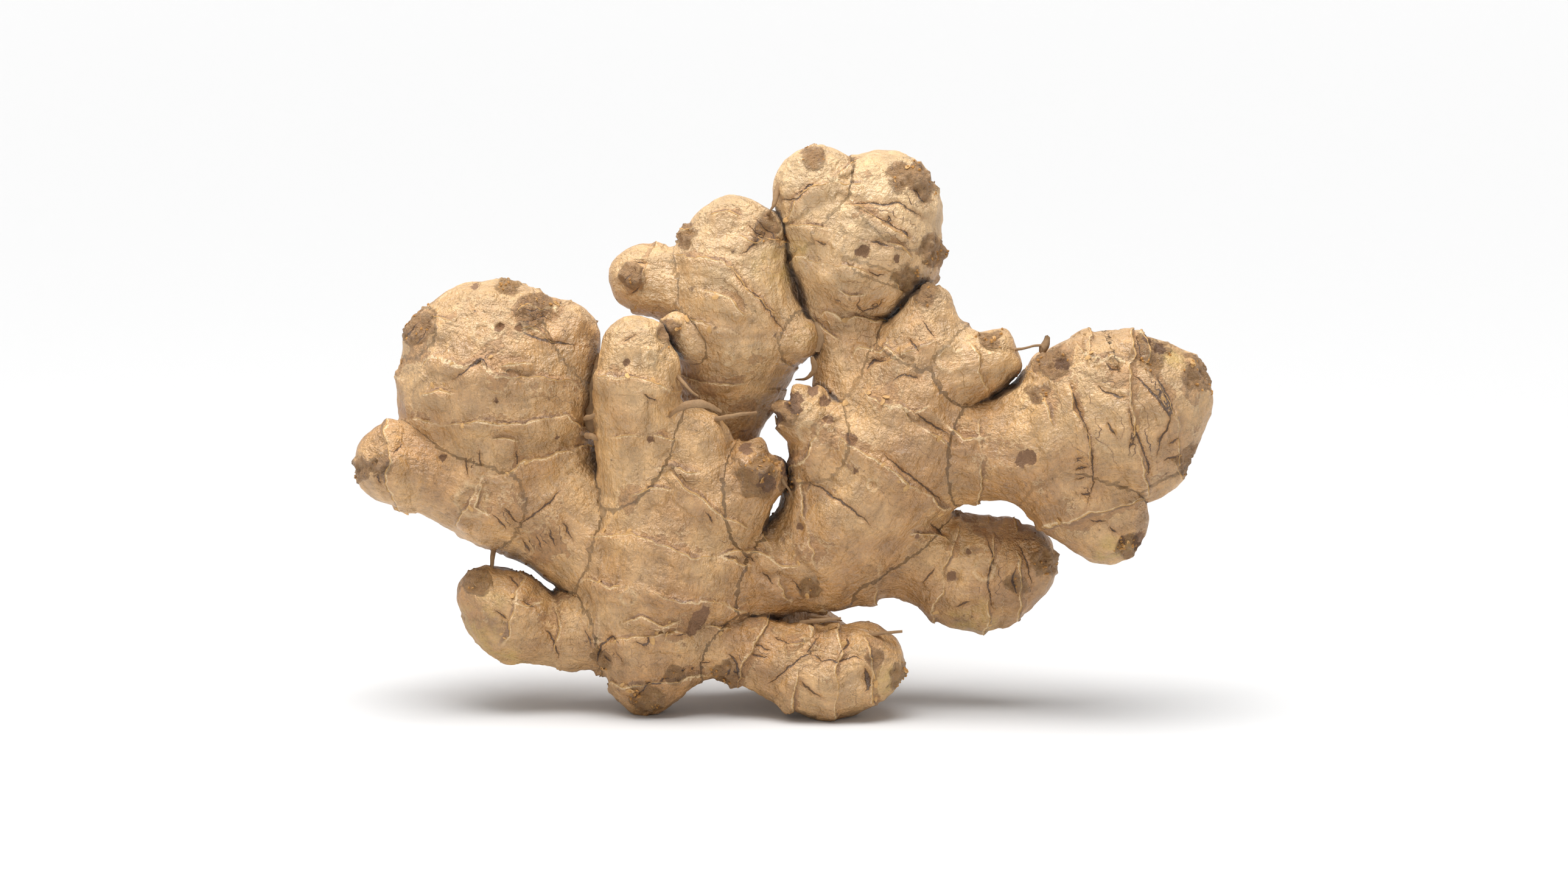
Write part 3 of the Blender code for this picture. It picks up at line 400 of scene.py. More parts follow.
# Dry strips of old leaf: which way their width runs, then points (across, up, depth) with half the
# width at each.
SHEATHS = (
    ((0, 0.5, 1), (-25, 67.2, -12, 0.5), (-21.6, 69.4, -14, 0.9), (-17.4, 69.8, -14, 0.9),
     (-13.4, 68.2, -12, 0.4)),
    ((0.7, -0.7, 0.2), (6.6, 80.4, -4, 0.6), (7.2, 77.6, -4, 1.1), (5.4, 75.6, -2, 1.2),
     (3.2, 75.4, 2, 0.6)),
    ((1, -0.4, 0), (7.4, 88, -6, 0.4), (8.6, 84.6, -7, 0.8), (7.8, 81.4, -6, 0.5)),
    ((0, -1, 0.3), (6, 22.4, -6, 0.8), (10, 22.2, -9, 1.0), (13.4, 21.6, -8, 0.5)),
    ((1, 0, 0), (-44, 88, 0, 0.6), (-43.4, 82, -1, 2.4), (-42.6, 74, -2, 3.0), (-42, 66, -2, 2.6),
     (-41.6, 63, -2, 0.8)),
    ((1, 0.2, 0), (26.4, 95.6, 2, 1.0), (23, 92.4, 1, 1.6), (19, 89.6, 0, 1.2)),
)


def standing(across, up, depth):
    """The place of a front-view point in the standing root's own frame."""
    z = (up - (depth - FRONT_FOOT_DEPTH) * math.sin(VIEW_TILT)) / math.cos(VIEW_TILT)
    return np.array((across - MIDDLE[0], depth - MIDDLE[1], z))


def seen(points):
    """Rows of (across, up): where points of the standing root lie in the front view."""
    across, depth = points[:, 0] + MIDDLE[0], points[:, 1] + MIDDLE[1]
    up = points[:, 2] * math.cos(VIEW_TILT) + (depth - FRONT_FOOT_DEPTH) * math.sin(VIEW_TILT)
    return np.column_stack((across, up))


def smooth_path(points, steps):
    """A curve through the rows of points, with this many steps between each two."""
    rows = np.vstack([2 * points[0] - points[1], points, 2 * points[-1] - points[-2]])
    path = [points[0]]
    for a, b, c, d in zip(rows, rows[1:], rows[2:], rows[3:]):
        for t in np.linspace(0, 1, steps + 1)[1:]:
            path.append(0.5 * (2 * b + (c - a) * t + (2 * a - 5 * b + 4 * c - d) * t ** 2
                               + (3 * b - a - 3 * c + d) * t ** 3))
    return np.array(path)


def noise(points, seed):
    """Smooth noise between about -1 and 1, one value for each row of points."""
    table = np.random.default_rng(NOISE_SEED + seed).permutation(256)
    slopes = np.random.default_rng(NOISE_SEED + seed + 1).normal(size=(256, 3))
    slopes /= np.linalg.norm(slopes, axis=1)[:, None]
    cell = np.floor(points).astype(int)
    part = points - cell
    ease = part ** 3 * (part * (part * 6 - 15) + 10)
    total = np.zeros(len(points))
    for corner in np.ndindex(2, 2, 2):
        x, y, z = ((cell + corner) & 255).T
        slope = slopes[table[(table[(table[x] + y) & 255] + z) & 255]]
        weight = np.prod(np.where(corner, ease, 1 - ease), axis=1)
        total += weight * np.einsum("ij,ij->i", slope, part - corner)
    return 1.6 * total


def step(low, high, value):
    """Rises smoothly from 0 at low to 1 at high."""
    t = np.clip((value - low) / (high - low), 0, 1)
    return t * t * (3 - 2 * t)


class Lobe:
    """One finger, knob or bud: its spine, its half width along it and how deep it is."""

    def __init__(self, parent, blend, flatness, spine):
        rows = np.array([[*standing(a, u, d), w] for a, u, d, w in spine])
        path = smooth_path(rows, SPINE_STEPS)
        self.parent, self.blend, self.flatness = parent, blend, flatness
        self.centres, self.widths = path[:, :3], path[:, 3]
        margin = self.widths[:, None] + REACH
        self.low = (self.centres - margin).min(axis=0)
        self.high = (self.centres + margin).max(axis=0)

    def distance(self, points):
        """How far points lie outside this lobe, the way that grows, and their grain.

        Grain is a point's place in a frame that turns with the spine: to the side of it, in
        front of it and along it.
        """
        gap = np.full(len(points), FAR)
        away, grain = np.zeros_like(points), np.zeros_like(points)
        near = np.flatnonzero(((points > self.low) & (points < self.high)).all(axis=1))
        squash = np.array((1, 1 / self.flatness, 1))
        where, centres = points[near] * squash, self.centres * squash
        best = np.full(len(near), FAR)
        best_away, best_grain = np.zeros_like(where), np.zeros_like(where)
        run = 0.0
        for a, b, wa, wb in zip(centres, centres[1:], self.widths, self.widths[1:]):
            along = b - a
            length = np.linalg.norm(along)
            t = np.clip((where - a) @ along / length ** 2, 0, 1)
            offset = where - (a + t[:, None] * along)
            reach = np.linalg.norm(offset, axis=1) + TINY
            outside = reach - (wa + t * (wb - wa))
            nearer = outside < best
            best[nearer] = outside[nearer]
            best_away[nearer] = (offset / reach[:, None])[nearer]
            side = np.cross((0.0, 1.0, 0.0), along)
            side /= np.linalg.norm(side)
            front = np.cross(along / length, side)
            past_end = (where - a) @ along / length
            turned = np.column_stack((offset @ side, offset @ front, run + past_end))
            best_grain[nearer] = turned[nearer]
            run += length
        gap[near], away[near], grain[near] = best, best_away * squash, best_grain
        return gap, away, grain

    def rings(self):
        """(centre, tangent, half width) rows of a loft with a domed cap at each end."""
        tangents = np.gradient(self.centres, axis=0)
        tangents /= np.linalg.norm(tangents, axis=1)[:, None]
        rows = list(zip(self.centres, tangents, self.widths))
        turns = [math.pi / 2 * (k + 1) / (CAP_RINGS + 1) for k in range(CAP_RINGS)]
        caps, ends = [], []
        for way, (centre, tangent, width) in ((-1, rows[0]), (1, rows[-1])):
            caps.append([(centre + way * (tangent * width * math.sin(a)), tangent, width * math.cos(a))
                         for a in turns])
            ends.append(centre + way * (tangent * width))
        return caps[0][::-1] + rows + caps[1], ends


def loft(mesh, lobe):
    """Adds the closed tube round a lobe's spine to a bmesh."""
    rows, (tail_end, head_end) = lobe.rings()
    depth_axis = np.array((0.0, 1.0, 0.0))
    loops = []
    for centre, tangent, width in rows:
        side = np.cross(depth_axis, tangent)
        side /= np.linalg.norm(side)
        front = np.cross(tangent, side) * lobe.flatness
        loops.append([
            mesh.verts.new((centre + width * (side * math.cos(a) + front * math.sin(a))) * MM)
            for a in np.linspace(0, 2 * math.pi, LOFT_SIDES, endpoint=False)])
    for one, two in zip(loops, loops[1:]):
        for k in range(LOFT_SIDES):
            n = (k + 1) % LOFT_SIDES
            mesh.faces.new((one[k], one[n], two[n], two[k]))
    tail, head = mesh.verts.new(tail_end * MM), mesh.verts.new(head_end * MM)
    for k in range(LOFT_SIDES):
        n = (k + 1) % LOFT_SIDES
        mesh.faces.new((tail, loops[0][n], loops[0][k]))
        mesh.faces.new((head, loops[-1][k], loops[-1][n]))


class Shape:
    """The melted lobes, sampled at rows of points: everything that the relief and colours need."""

    def __init__(self, lobes, points):
        names = list(lobes)
        found = [lobes[name].distance(points) for name in names]
        gaps = np.array([gap for gap, _, _ in found])
        best, away = gaps[0].copy(), found[0][1].copy()
        for i, name in enumerate(names):
            lobe = lobes[name]
            if lobe.parent is None:
                continue
            p = names.index(lobe.parent)
            share = np.clip(0.5 + 0.5 * (gaps[p] - gaps[i]) / lobe.blend, 0, 1)
            joined = gaps[p] + share * (gaps[i] - gaps[p]) - lobe.blend * share * (1 - share)
            nearer = joined < best
            best[nearer] = joined[nearer]
            mixed = found[p][1] + share[:, None] * (found[i][1] - found[p][1])
            away[nearer] = mixed[nearer]
        self.points, self.gap, self.away = points, best, away
        self.gaps = dict(zip(names, gaps))
        self.nearest = gaps.argmin(axis=0)
        self.closest = gaps.min(axis=0)
        grains = np.array([grain for _, _, grain in found])
        self.grain = grains[self.nearest, np.arange(len(points))]
        self.grain[:, 2] += GRAIN_STEP * self.nearest
        self.flat = seen(points)

    def outward(self):
        length = np.linalg.norm(self.away, axis=1)[:, None]
        return self.away / np.maximum(length, TINY)


def hollow(lobes, points, outward):
    """1 deep in a crease between lobes, 0 on open skin: how soon other skin lies overhead."""
    closed = np.zeros(len(points))
    for reach, weight in HOLLOW_REACHES:
        gap = Shape(lobes, points + reach * outward).gap
        closed += weight * (1 - np.clip(gap / reach, 0, 1))
    return closed


def facing(outward, side):
    """How much of the skin at each point a mark on that side (-1 front, 1 back, 0 both) covers."""
    return np.ones(len(outward)) if side == 0 else np.clip(3 * side * outward[:, 1] + 0.4, 0, 1)


def past_ring(name, line, flat):
    """How far front-view points lie past a ring's line, towards the tip of its lobe."""
    spine = LOBES[name][-1]
    outward = np.subtract(spine[-1][:2], spine[0][:2])
    run = (line[-1] - line[0]) / np.linalg.norm(line[-1] - line[0])
    normal = np.array((run[1], -run[0]))
    normal *= math.copysign(1, normal @ outward)
    bend = np.interp((flat - line[0]) @ run, (line - line[0]) @ run, (line - line[0]) @ normal)
    return (flat - line[0]) @ normal - bend


def along_path(flat, points):
    """(distance to a path of front-view points, its side as 1 or -1, place along it from 0 to 1)."""
    reach = np.full(len(flat), FAR)
    side, place = np.ones(len(flat)), np.zeros(len(flat))
    for k, (one, two) in enumerate(zip(points, points[1:])):
        run = np.subtract(two, one)
        t = np.clip((flat - one) @ run / (run @ run), 0, 1)
        offset = flat - one - t[:, None] * run
        here = np.linalg.norm(offset, axis=1)
        nearer = here < reach
        reach[nearer] = here[nearer]
        side[nearer] = np.where(run[0] * offset[:, 1] - run[1] * offset[:, 0] < 0, -1, 1)[nearer]
        place[nearer] = (k + t[nearer]) / (len(points) - 1)
    return reach, side, place


class Edges:
    """The torn leaf edges: the rings round the lobes and the short ledges between them.

    past is how far a point lies beyond the nearest edge, towards the tip of the lobe, force is
    how strong that edge is there and index says which one it is, or -1.
    """

    def __init__(self, shape, outward):
        points, flat = shape.points, shape.flat
        self.past = np.full(len(points), CLEAR)
        self.force, self.index = np.zeros(len(points)), np.full(len(points), -1)
        wobble = RING_WOBBLE * noise(points / RING_WOBBLE_SIZE, len(LUMP_SIZES))
        for k, (size, height) in enumerate(RAG_SIZES):
            wobble += height * noise(points / size, 20 + k)
        patchy = noise(points / PATCH_SIZE, 24)
        for k, (name, *line) in enumerate(RINGS):
            own = np.clip(1 - (shape.gaps[name] - shape.closest) / RING_FADE, 0, 1)
            here = past_ring(name, np.array(line), flat) + wobble
            self.take(k, here, own * step(-0.5, 0.2, patchy))
        for side, move in ((-1, (0, 0)), (1, BACK_MOVE)):
            rows = np.flatnonzero(side * outward[:, 1] > 0)
            for k, line in enumerate(LEDGES):
                reach, way, place = along_path(flat[rows] - move, line)
                here = np.full(len(points), CLEAR)
                here[rows] = np.clip(reach * way + 0.5 * wobble[rows], -CLEAR, CLEAR)
                force = np.zeros(len(points))
                force[rows] = step(0, 0.2, place) * step(1, 0.8, place) * (reach < CLEAR)
                self.take(len(RINGS) + 2 * k + (side > 0), here, force)

    def take(self, index, past, force):
        """Lets one edge have the points that lie nearest to it."""
        nearer = (np.abs(past) < np.abs(self.past)) & (force > 0.01)
        self.past[nearer], self.force[nearer] = past[nearer], force[nearer]
        self.index[nearer] = index


def edge_relief(edges, height):
    """The raised edge that each torn leaf leaves on its lobe."""
    width = np.where(edges.past < 0, RING_RISE, RING_DROP)
    return height * edges.force * np.exp(-(edges.past / width) ** 2)


def mark_relief(shape, outward):
    """The bumps and dents of bud scars, eyes and torn ends."""
    height = np.zeros(len(shape.points))
    for across, up, side, radius, rise in MARKS:
        reach = np.linalg.norm(shape.flat - (across, up), axis=1)
        cover = np.clip(2 * side * outward[:, 1], 0, 1) if side else 1
        height += rise * np.exp(-(reach / radius) ** 2) * cover
    return height


def eye_rims(shape, outward):
    """1 on the round rim that each fallen root or leaf left, 0 away from it."""
    rim = np.zeros(len(shape.points))
    ragged = 0.25 * noise(shape.points / 1.4, 70)
    for across, up, side, radius in EYES:
        reach = np.linalg.norm(shape.flat - (across, up), axis=1) * (1 + ragged)
        here = np.exp(-((reach - radius) / EYE_RIM) ** 2) * facing(outward, side)
        rim = np.maximum(rim, here)
    return rim


def crack_lines(shape, outward):
    """How far each point lies to one side of its nearest crack, and that crack's half width there.

    The half width falls below 0 at a crack's ends, where it has closed.
    """
    wander = np.column_stack([CRACK_WANDER * noise(shape.points / size, 30 + k)
                              for k, size in enumerate(CRACK_WANDER_SIZES)])
    past, half = np.full(len(shape.points), CLEAR), np.full(len(shape.points), -CLEAR)
    for side, move in ((-1, (0, 0)), (1, BACK_MOVE)):
        rows = np.flatnonzero(side * outward[:, 1] > -0.1)
        flat = shape.flat[rows] + wander[rows] - move
        closed = CRACK_END + (1 - facing(outward[rows], side)) * CLEAR
        for width, *points in CRACKS:
            reach, way, place = along_path(flat, points)
            here = width * np.sin(math.pi * place) ** 0.5 - closed
            nearer = reach - here < np.abs(past[rows]) - half[rows]
            past[rows[nearer]], half[rows[nearer]] = (reach * way)[nearer], here[nearer]
    return np.clip(past, -CLEAR, CLEAR), half


def patches(shape, outward, spots, rough):
    """1 inside the ragged round patches, falling to 0 at their edges."""
    edge = 0.35 * noise(shape.points / rough, 40)
    edge += 0.2 * noise(shape.points * 2.3 / rough, 41)
    cover = np.zeros(len(shape.points))
    for across, up, side, radius in spots:
        reach = np.linalg.norm(shape.flat - (across, up), axis=1) / radius + edge
        cover = np.maximum(cover, (1 - step(0.6, 1.1, reach)) * facing(outward, side))
    return cover


def wrinkles(shape):
    """Fine folds along the grain, with bands of folds across it, from about -1 to 1."""
    along = noise(shape.grain / (2.2, 2.2, 9.0), 50)
    thin = noise(shape.grain / (1.1, 1.1, 5.0), 51)
    across = noise(shape.grain / (7.0, 7.0, 1.5), 52)
    banded = step(-0.1, 0.45, noise(shape.points / 12.0, 53))
    soft = noise(shape.points / 4.2, 54)
    return 0.4 * along + 0.25 * thin + 0.6 * banded * across + 0.5 * soft


def skin_marks(shape, outward):
    """The marks that both the skin's relief and its colours need."""
    past, half = crack_lines(shape, outward)
    return {
        "cork": patches(shape, outward, CORK_PATCHES, CORK_RAG),
        "scar": patches(shape, outward, SCARS, SCAR_RAG), "eye": eye_rims(shape, outward),
        "folds": wrinkles(shape), "crack_past": past, "crack_half": half}


def new_object(name, mesh):
    """An object in the scene for a mesh."""
    item = bpy.data.objects.new(name, mesh)
    bpy.context.scene.collection.objects.link(item)
    return item


def applied(source, name):
    """The object's evaluated mesh as a plain object of that name, with the first one removed."""
    graph = bpy.context.evaluated_depsgraph_get()
    made = bpy.data.meshes.new_from_object(
        source.evaluated_get(graph), preserve_all_data_layers=True, depsgraph=graph)
    made.name = name
    old = source.data
    bpy.data.objects.remove(source)
    bpy.data.meshes.remove(old)
    return new_object(name, made)


def rows_of(mesh, key):
    """Each vertex's place ("co") or its normal."""
    flat = np.empty(len(mesh.vertices) * 3)
    mesh.vertices.foreach_get(key, flat)
    return flat.reshape(-1, 3)


def points_of(mesh):
    return rows_of(mesh, "co") / MM


def write_values(mesh, name, values):
    """Stores one number, or one vector, for each vertex."""
    kind, key = ("FLOAT", "value") if values.ndim == 1 else ("FLOAT_VECTOR", "vector")
    layer = mesh.attributes.new(name, kind, "POINT")
    layer.data.foreach_set(key, values.astype(np.float32).ravel())


def read_values(mesh, name):
    out = np.empty(len(mesh.vertices), np.float32)
    mesh.attributes[name].data.foreach_get("value", out)
    return out


# Node helpers.
class Value:
    """A node's output, which +, -, * and abs turn into Math nodes of the same tree."""

    def __init__(self, socket):
        self.socket, self.tree = socket, socket.id_data

    def maths(self, operation, *others, clamp=False):
        return Value(add(self.tree, "ShaderNodeMath", dict(enumerate((self, *others))),
                         operation=operation, use_clamp=clamp).outputs[0])

    def __add__(self, other):
        return self.maths("ADD", other)

    def __sub__(self, other):
        return self.maths("SUBTRACT", other)

    def __mul__(self, other):
        return self.maths("MULTIPLY", other)

    def __abs__(self):
        return self.maths("ABSOLUTE")

    def ramp(self, low, high, to_low=0.0, to_high=1.0):
        """Maps low..high to to_low..to_high with a smooth step."""
        return Value(add(self.tree, "ShaderNodeMapRange", {
            "Value": self, "From Min": low, "From Max": high, "To Min": to_low, "To Max": to_high},
            interpolation_type="SMOOTHSTEP").outputs["Result"])

    def between(self, one, two):
        """A colour that is one where this value is 0 and two where it is 1."""
        return Value(add(self.tree, "ShaderNodeMix", {0: self, 6: one, 7: two},
                         data_type="RGBA").outputs[2])

    def shaded(self, value):
        """This colour made lighter or darker by a value round 1."""
        grey = add(self.tree, "ShaderNodeCombineColor", {"Red": value, "Green": value, "Blue": value})
        return Value(add(self.tree, "ShaderNodeMix", {0: 1.0, 6: self, 7: grey}, data_type="RGBA",
                         blend_type="MULTIPLY").outputs[2])

    def noise(self, scale, detail=3.0, roughness=0.55, output="Fac"):
        """Noise read at this place."""
        return Value(add(self.tree, "ShaderNodeTexNoise", {
            "Vector": self, "Scale": scale, "Detail": detail,
            "Roughness": roughness}).outputs[output])


def feed(socket, value):
    """Links an input to a Value, a node's first output or a socket, or sets it."""
    if isinstance(value, Value):
        value = value.socket
    elif isinstance(value, bpy.types.Node):
        value = value.outputs[0]
    if isinstance(value, bpy.types.NodeSocket):
        socket.id_data.links.new(value, socket)
    else:
        socket.default_value = value


def add(tree, kind, sockets=None, **settings):
    """Adds a node, sets it up, and feeds its inputs."""
    node = tree.nodes.new(kind)
    for name, value in settings.items():
        setattr(node, name, value)
    for name, value in (sockets or {}).items():
        feed(node.inputs[name], value)
    return node


def new_group(name, kind, inputs, outputs):
    """A node group with named sockets, what its input node gives, and its output node."""
    tree = bpy.data.node_groups.new(name, kind)
    for label, socket_type, *default in inputs:
        socket = tree.interface.new_socket(
            label, in_out="INPUT", socket_type="NodeSocket" + socket_type)
        if default:
            socket.default_value = default[0]
    for label, socket_type in outputs:
        tree.interface.new_socket(label, in_out="OUTPUT", socket_type="NodeSocket" + socket_type)
    source, result = tree.nodes.new("NodeGroupInput"), tree.nodes.new("NodeGroupOutput")
    return tree, {socket.name: Value(socket) for socket in source.outputs}, result


def attribute(tree, name, output="Fac"):
    return Value(add(tree, "ShaderNodeAttribute", attribute_name=name).outputs[output])


def shared_group(name):
    """The node group of that name, made when it is first asked for."""
    return bpy.data.node_groups.get(name) or GROUPS[name](name)


def placed(tree, name, values):
    """The outputs of a shared shader group placed in a material."""
    node = add(tree, "ShaderNodeGroup", values, node_tree=shared_group(name))
    return {socket.name: Value(socket) for socket in node.outputs}


def mottle_group(name):
    """Cloudy change of tone over dry plant skin, from pale through tan to umber."""
    tree, given, result = new_group(name, "ShaderNodeTree", (
        ("Vector", "Vector"), ("Pale", "Color", (0.8, 0.6, 0.4, 1)),
        ("Tan", "Color", (0.6, 0.4, 0.2, 1)), ("Umber", "Color", (0.3, 0.15, 0.06, 1))),
        (("Color", "Color"), ("Cloud", "Float")))
    place = given["Vector"]
    cloud = place.noise(170.0, 5.0, 0.62)
    colour = place.noise(48.0, 4.0, 0.55).ramp(0.36, 0.66).between(given["Tan"], given["Pale"])
    colour = cloud.ramp(0.54, 0.76, 0.0, 0.5).between(colour, given["Umber"])
    colour = colour.shaded(place.noise(1100.0, 4.0, 0.65).ramp(0.3, 0.7, 0.88, 1.1))
    feed(result.inputs["Color"], colour)
    feed(result.inputs["Cloud"], cloud)
    return tree


def fibre_group(name):
    """Fine folds drawn out along the grain, as a height round 0."""
    tree, given, result = new_group(name, "ShaderNodeTree", (
        ("Grain", "Vector"), ("Scale", "Float", 1.0)), (("Height", "Float"),))
    drawn = add(tree, "ShaderNodeMapping", {"Vector": given["Grain"], "Scale": (1.0, 1.0, 0.2)})
    scaled = Value(add(tree, "ShaderNodeVectorMath", {0: drawn, "Scale": given["Scale"]},
                       operation="SCALE").outputs[0])
    height = scaled.noise(1500.0, 3.0, 0.6) * 0.4 + scaled.noise(480.0, 3.0, 0.6) * 0.6 - 0.5
    feed(result.inputs["Height"], height)
    return tree


def speck_group(name):
    """Small dark dashes that lie across the grain."""
    tree, given, result = new_group(name, "ShaderNodeTree", (
        ("Grain", "Vector"), ("Share", "Float", 0.2)), (("Mask", "Float"),))
    bent = given["Grain"].noise(600.0, 2.0, output="Color")
    moved = add(tree, "ShaderNodeVectorMath", {0: bent, 1: (SPECK_BEND,) * 3, 2: given["Grain"]},
                operation="MULTIPLY_ADD")
    drawn = add(tree, "ShaderNodeMapping", {"Vector": moved, "Scale": (0.5, 0.5, 1.5)})
    cells = add(tree, "ShaderNodeTexVoronoi", {"Vector": drawn, "Scale": 300.0})
    chance = add(tree, "ShaderNodeSeparateColor", {"Color": cells.outputs["Color"]})
    size = (given["Share"] - chance) * 1.4
    feed(result.inputs["Mask"], (size - cells.outputs["Distance"]).ramp(-0.03, 0.06))
    return tree


def new_material(name, roughness, specular=0.4):
    """A material: the material, its tree, its Principled shader and the object coordinates."""
    material = bpy.data.materials.new(name)
    material.use_nodes = True
    tree = material.node_tree
    shader = tree.nodes["Principled BSDF"]
    shader.inputs["Roughness"].default_value = roughness
    shader.inputs["Specular IOR Level"].default_value = specular
    return material, tree, shader, Value(add(tree, "ShaderNodeTexCoord").outputs["Object"])


def bump(tree, shader, height):
    """Raises the surface by a height in millimetres."""
    node = add(tree, "ShaderNodeBump", {"Height": height, "Strength": 1.0, "Distance": MM})
    feed(shader.inputs["Normal"], node)


def skin_material(colours):
    """The root's dry skin, which reads the skin's own attributes for edges, cracks and patches."""
    material, tree, shader, coords = new_material("ginger_dry_skin", 0.5, 1.0)
    shader.inputs["IOR"].default_value = SKIN_IOR
    grain = attribute(tree, "grain", "Vector")
    mottle = placed(tree, "skin_mottle", {
        "Vector": coords, "Pale": colours.pale, "Tan": colours.tan, "Umber": colours.umber})
    fibre = placed(tree, "skin_fibre", {"Grain": grain, "Scale": 1.0})["Height"]
    specks = placed(tree, "skin_specks", {"Grain": grain, "Share": 0.16})["Mask"]
    cork, eye, force = (attribute(tree, name) for name in ("cork", "eye", "edge_force"))
    rag = (coords.noise(1300.0, 3.0, 0.7) - 0.5) * 0.8
    past = attribute(tree, "edge_gap") + rag

    # Painted light on the tops: skin higher up the fingers is made paler.
    height = Value(add(tree, "ShaderNodeSeparateXYZ", {"Vector": coords}).outputs["Z"])
    lit_top = (height + (mottle["Cloud"] - 0.5) * 0.08).ramp(TOP_LIGHT_FROM, TOP_LIGHT_TO, 0.0, 0.65)
    colour = lit_top.between(mottle["Color"], colours.lit_top)
    colour = colour.shaded(fibre.ramp(-0.18, 0.16, 0.86, 1.08))
    # Painted shade in the hollows of the folds and painted light on their ridges.
    colour = colour.shaded(attribute(tree, "folds").ramp(-0.7, 0.7, 0.78, 1.14))

    # Where the thin outer skin has peeled, mostly beyond a torn edge and round cork.
    beyond = past.ramp(-0.1, 0.1) * past.ramp(0.6, 3.2, 1.0, 0.0) * force
    loose = coords.noise(85.0, 7.0, 0.62) + beyond * 0.11 + cork * 0.16
    peel = loose.ramp(PEEL_FROM, PEEL_FROM + 0.012)
    rust = coords.noise(700.0, 4.0, 0.65).ramp(0.35, 0.65).between(colours.umber, colours.rust)
    colour = (peel * 0.62).between(colour, rust)
    lip = abs(loose - (PEEL_FROM - 0.008)).ramp(0.003, 0.01, 0.35, 0.0)
    colour = lip.between(colour, colours.edge)

    # Thin yellow skin, rough cork and specks.
    fresh = attribute(tree, "fresh") * coords.noise(260.0, 5.0).ramp(0.36, 0.66)
    colour = (fresh * 0.55).between(colour, colours.fresh)
    # Cork is darker where this noise sinks its bump: painted shade in its pits.
    cork_fine = coords.noise(1300.0, 5.0, 0.7)
    cork_tone = cork_fine.ramp(0.3, 0.5).between(colours.scar, colours.cork)
    cork_pale = coords.noise(620.0, 5.0, 0.65).ramp(0.55, 0.68, 0.0, 0.7)
    cork_tone = cork_pale.between(cork_tone, colours.pale)
    ragged = coords.noise(420.0, 6.0, 0.65) - 0.5
    cork_cover = (cork + ragged * 2.6).ramp(0.3, 1.2)
    colour = (cork_cover * 0.85).between(colour, cork_tone)
    colour = (specks * 0.6).between(colour, colours.umber)

    # The torn edges: a stain round them, a thin brown line beyond them that is painted shadow under the
    # step, and a pale rim, partly pale fibre and partly painted light on the edge's top.
    uneven = coords.noise(190.0, 2.0).ramp(0.4, 0.6, 0.25, 1.0)
    stain = abs(past).ramp(0.3, 2.0, 0.5, 0.0) * force
    colour = (stain * uneven).between(colour, colours.rust)
    # Painted shadow just beyond each edge, where the skin steps down.
    step_shadow = abs(past - 0.42).ramp(0.12, 0.45, 0.95, 0.0) * force
    colour = (step_shadow * uneven).between(colour, colours.umber)
    # Painted light along each edge's top, over its pale fibres.
    rim = abs(past + 0.1).ramp(0.1, 0.32, 0.9, 0.0)
    colour = (rim * force).between(colour, colours.edge)

    # Cracks, round rims, scars, and painted shade that darkens the creases between lobes.
    crack_gap = abs(attribute(tree, "crack_past") + rag) - attribute(tree, "crack_half")
    crack = crack_gap.ramp(-0.08, 0.14, 1.0, 0.0)
    colour = crack_gap.ramp(0.0, 1.1, 0.5, 0.0).between(colour, colours.rust)
    colour = (crack * 0.9).between(colour, colours.dark)
    colour = (eye * 0.55).between(colour, colours.edge)
    scar = (attribute(tree, "scar") + ragged * 2.2).ramp(0.3, 0.6, 0.0, 0.9)
    colour = scar.between(colour, colours.scar)
    # Painted shade: the skin is darkened deep in the creases, where other skin lies close overhead.
    crease_shade = attribute(tree, "hollow") + (coords.noise(300.0, 4.0) - 0.5) * 0.5
    colour = crease_shade.ramp(0.5, 0.95, 0.0, 0.85).between(colour, colours.dark)
    feed(shader.inputs["Base Color"], colour)

    rough = mottle["Cloud"].ramp(0.3, 0.7, 0.38, 0.54) + peel * 0.15
    feed(shader.inputs["Roughness"], rough.maths("ADD", scar * 0.4, clamp=True))
    step_down = past.ramp(-0.05, 0.35, 1.0, 0.0) * force
    bump(tree, shader, step_down * 0.25 + fibre * 0.9 + crack * -0.35 + peel * -0.12
         + specks * -0.08 + eye * 0.2 + coords.noise(1250.0, 3.0, 0.6) * 0.5
         + coords.noise(330.0, 5.0, 0.6) * mottle["Cloud"].ramp(0.4, 0.65, 0.8, 1.9)
         + cork_cover * cork_fine * 1.8)
    return material


def scrap_material(piece, colours):
    """Torn leaf, root hair, cork or soil: one mottled tone with a fine rough surface."""
    name, light, shade, roughness = SCRAPS[piece]
    material, tree, shader, coords = new_material(name, roughness)
    tone, dark = getattr(colours, light), getattr(colours, shade)
    middle = [0.8 * part for part in tone[:3]] + [1.0]
    mottle = placed(tree, "skin_mottle", {
        "Vector": coords, "Pale": tone, "Tan": middle, "Umber": dark})
    feed(shader.inputs["Base Color"], mottle["Color"])
    bump(tree, shader, coords.noise(2200.0, 4.0, 0.7) * 0.15)
    return material


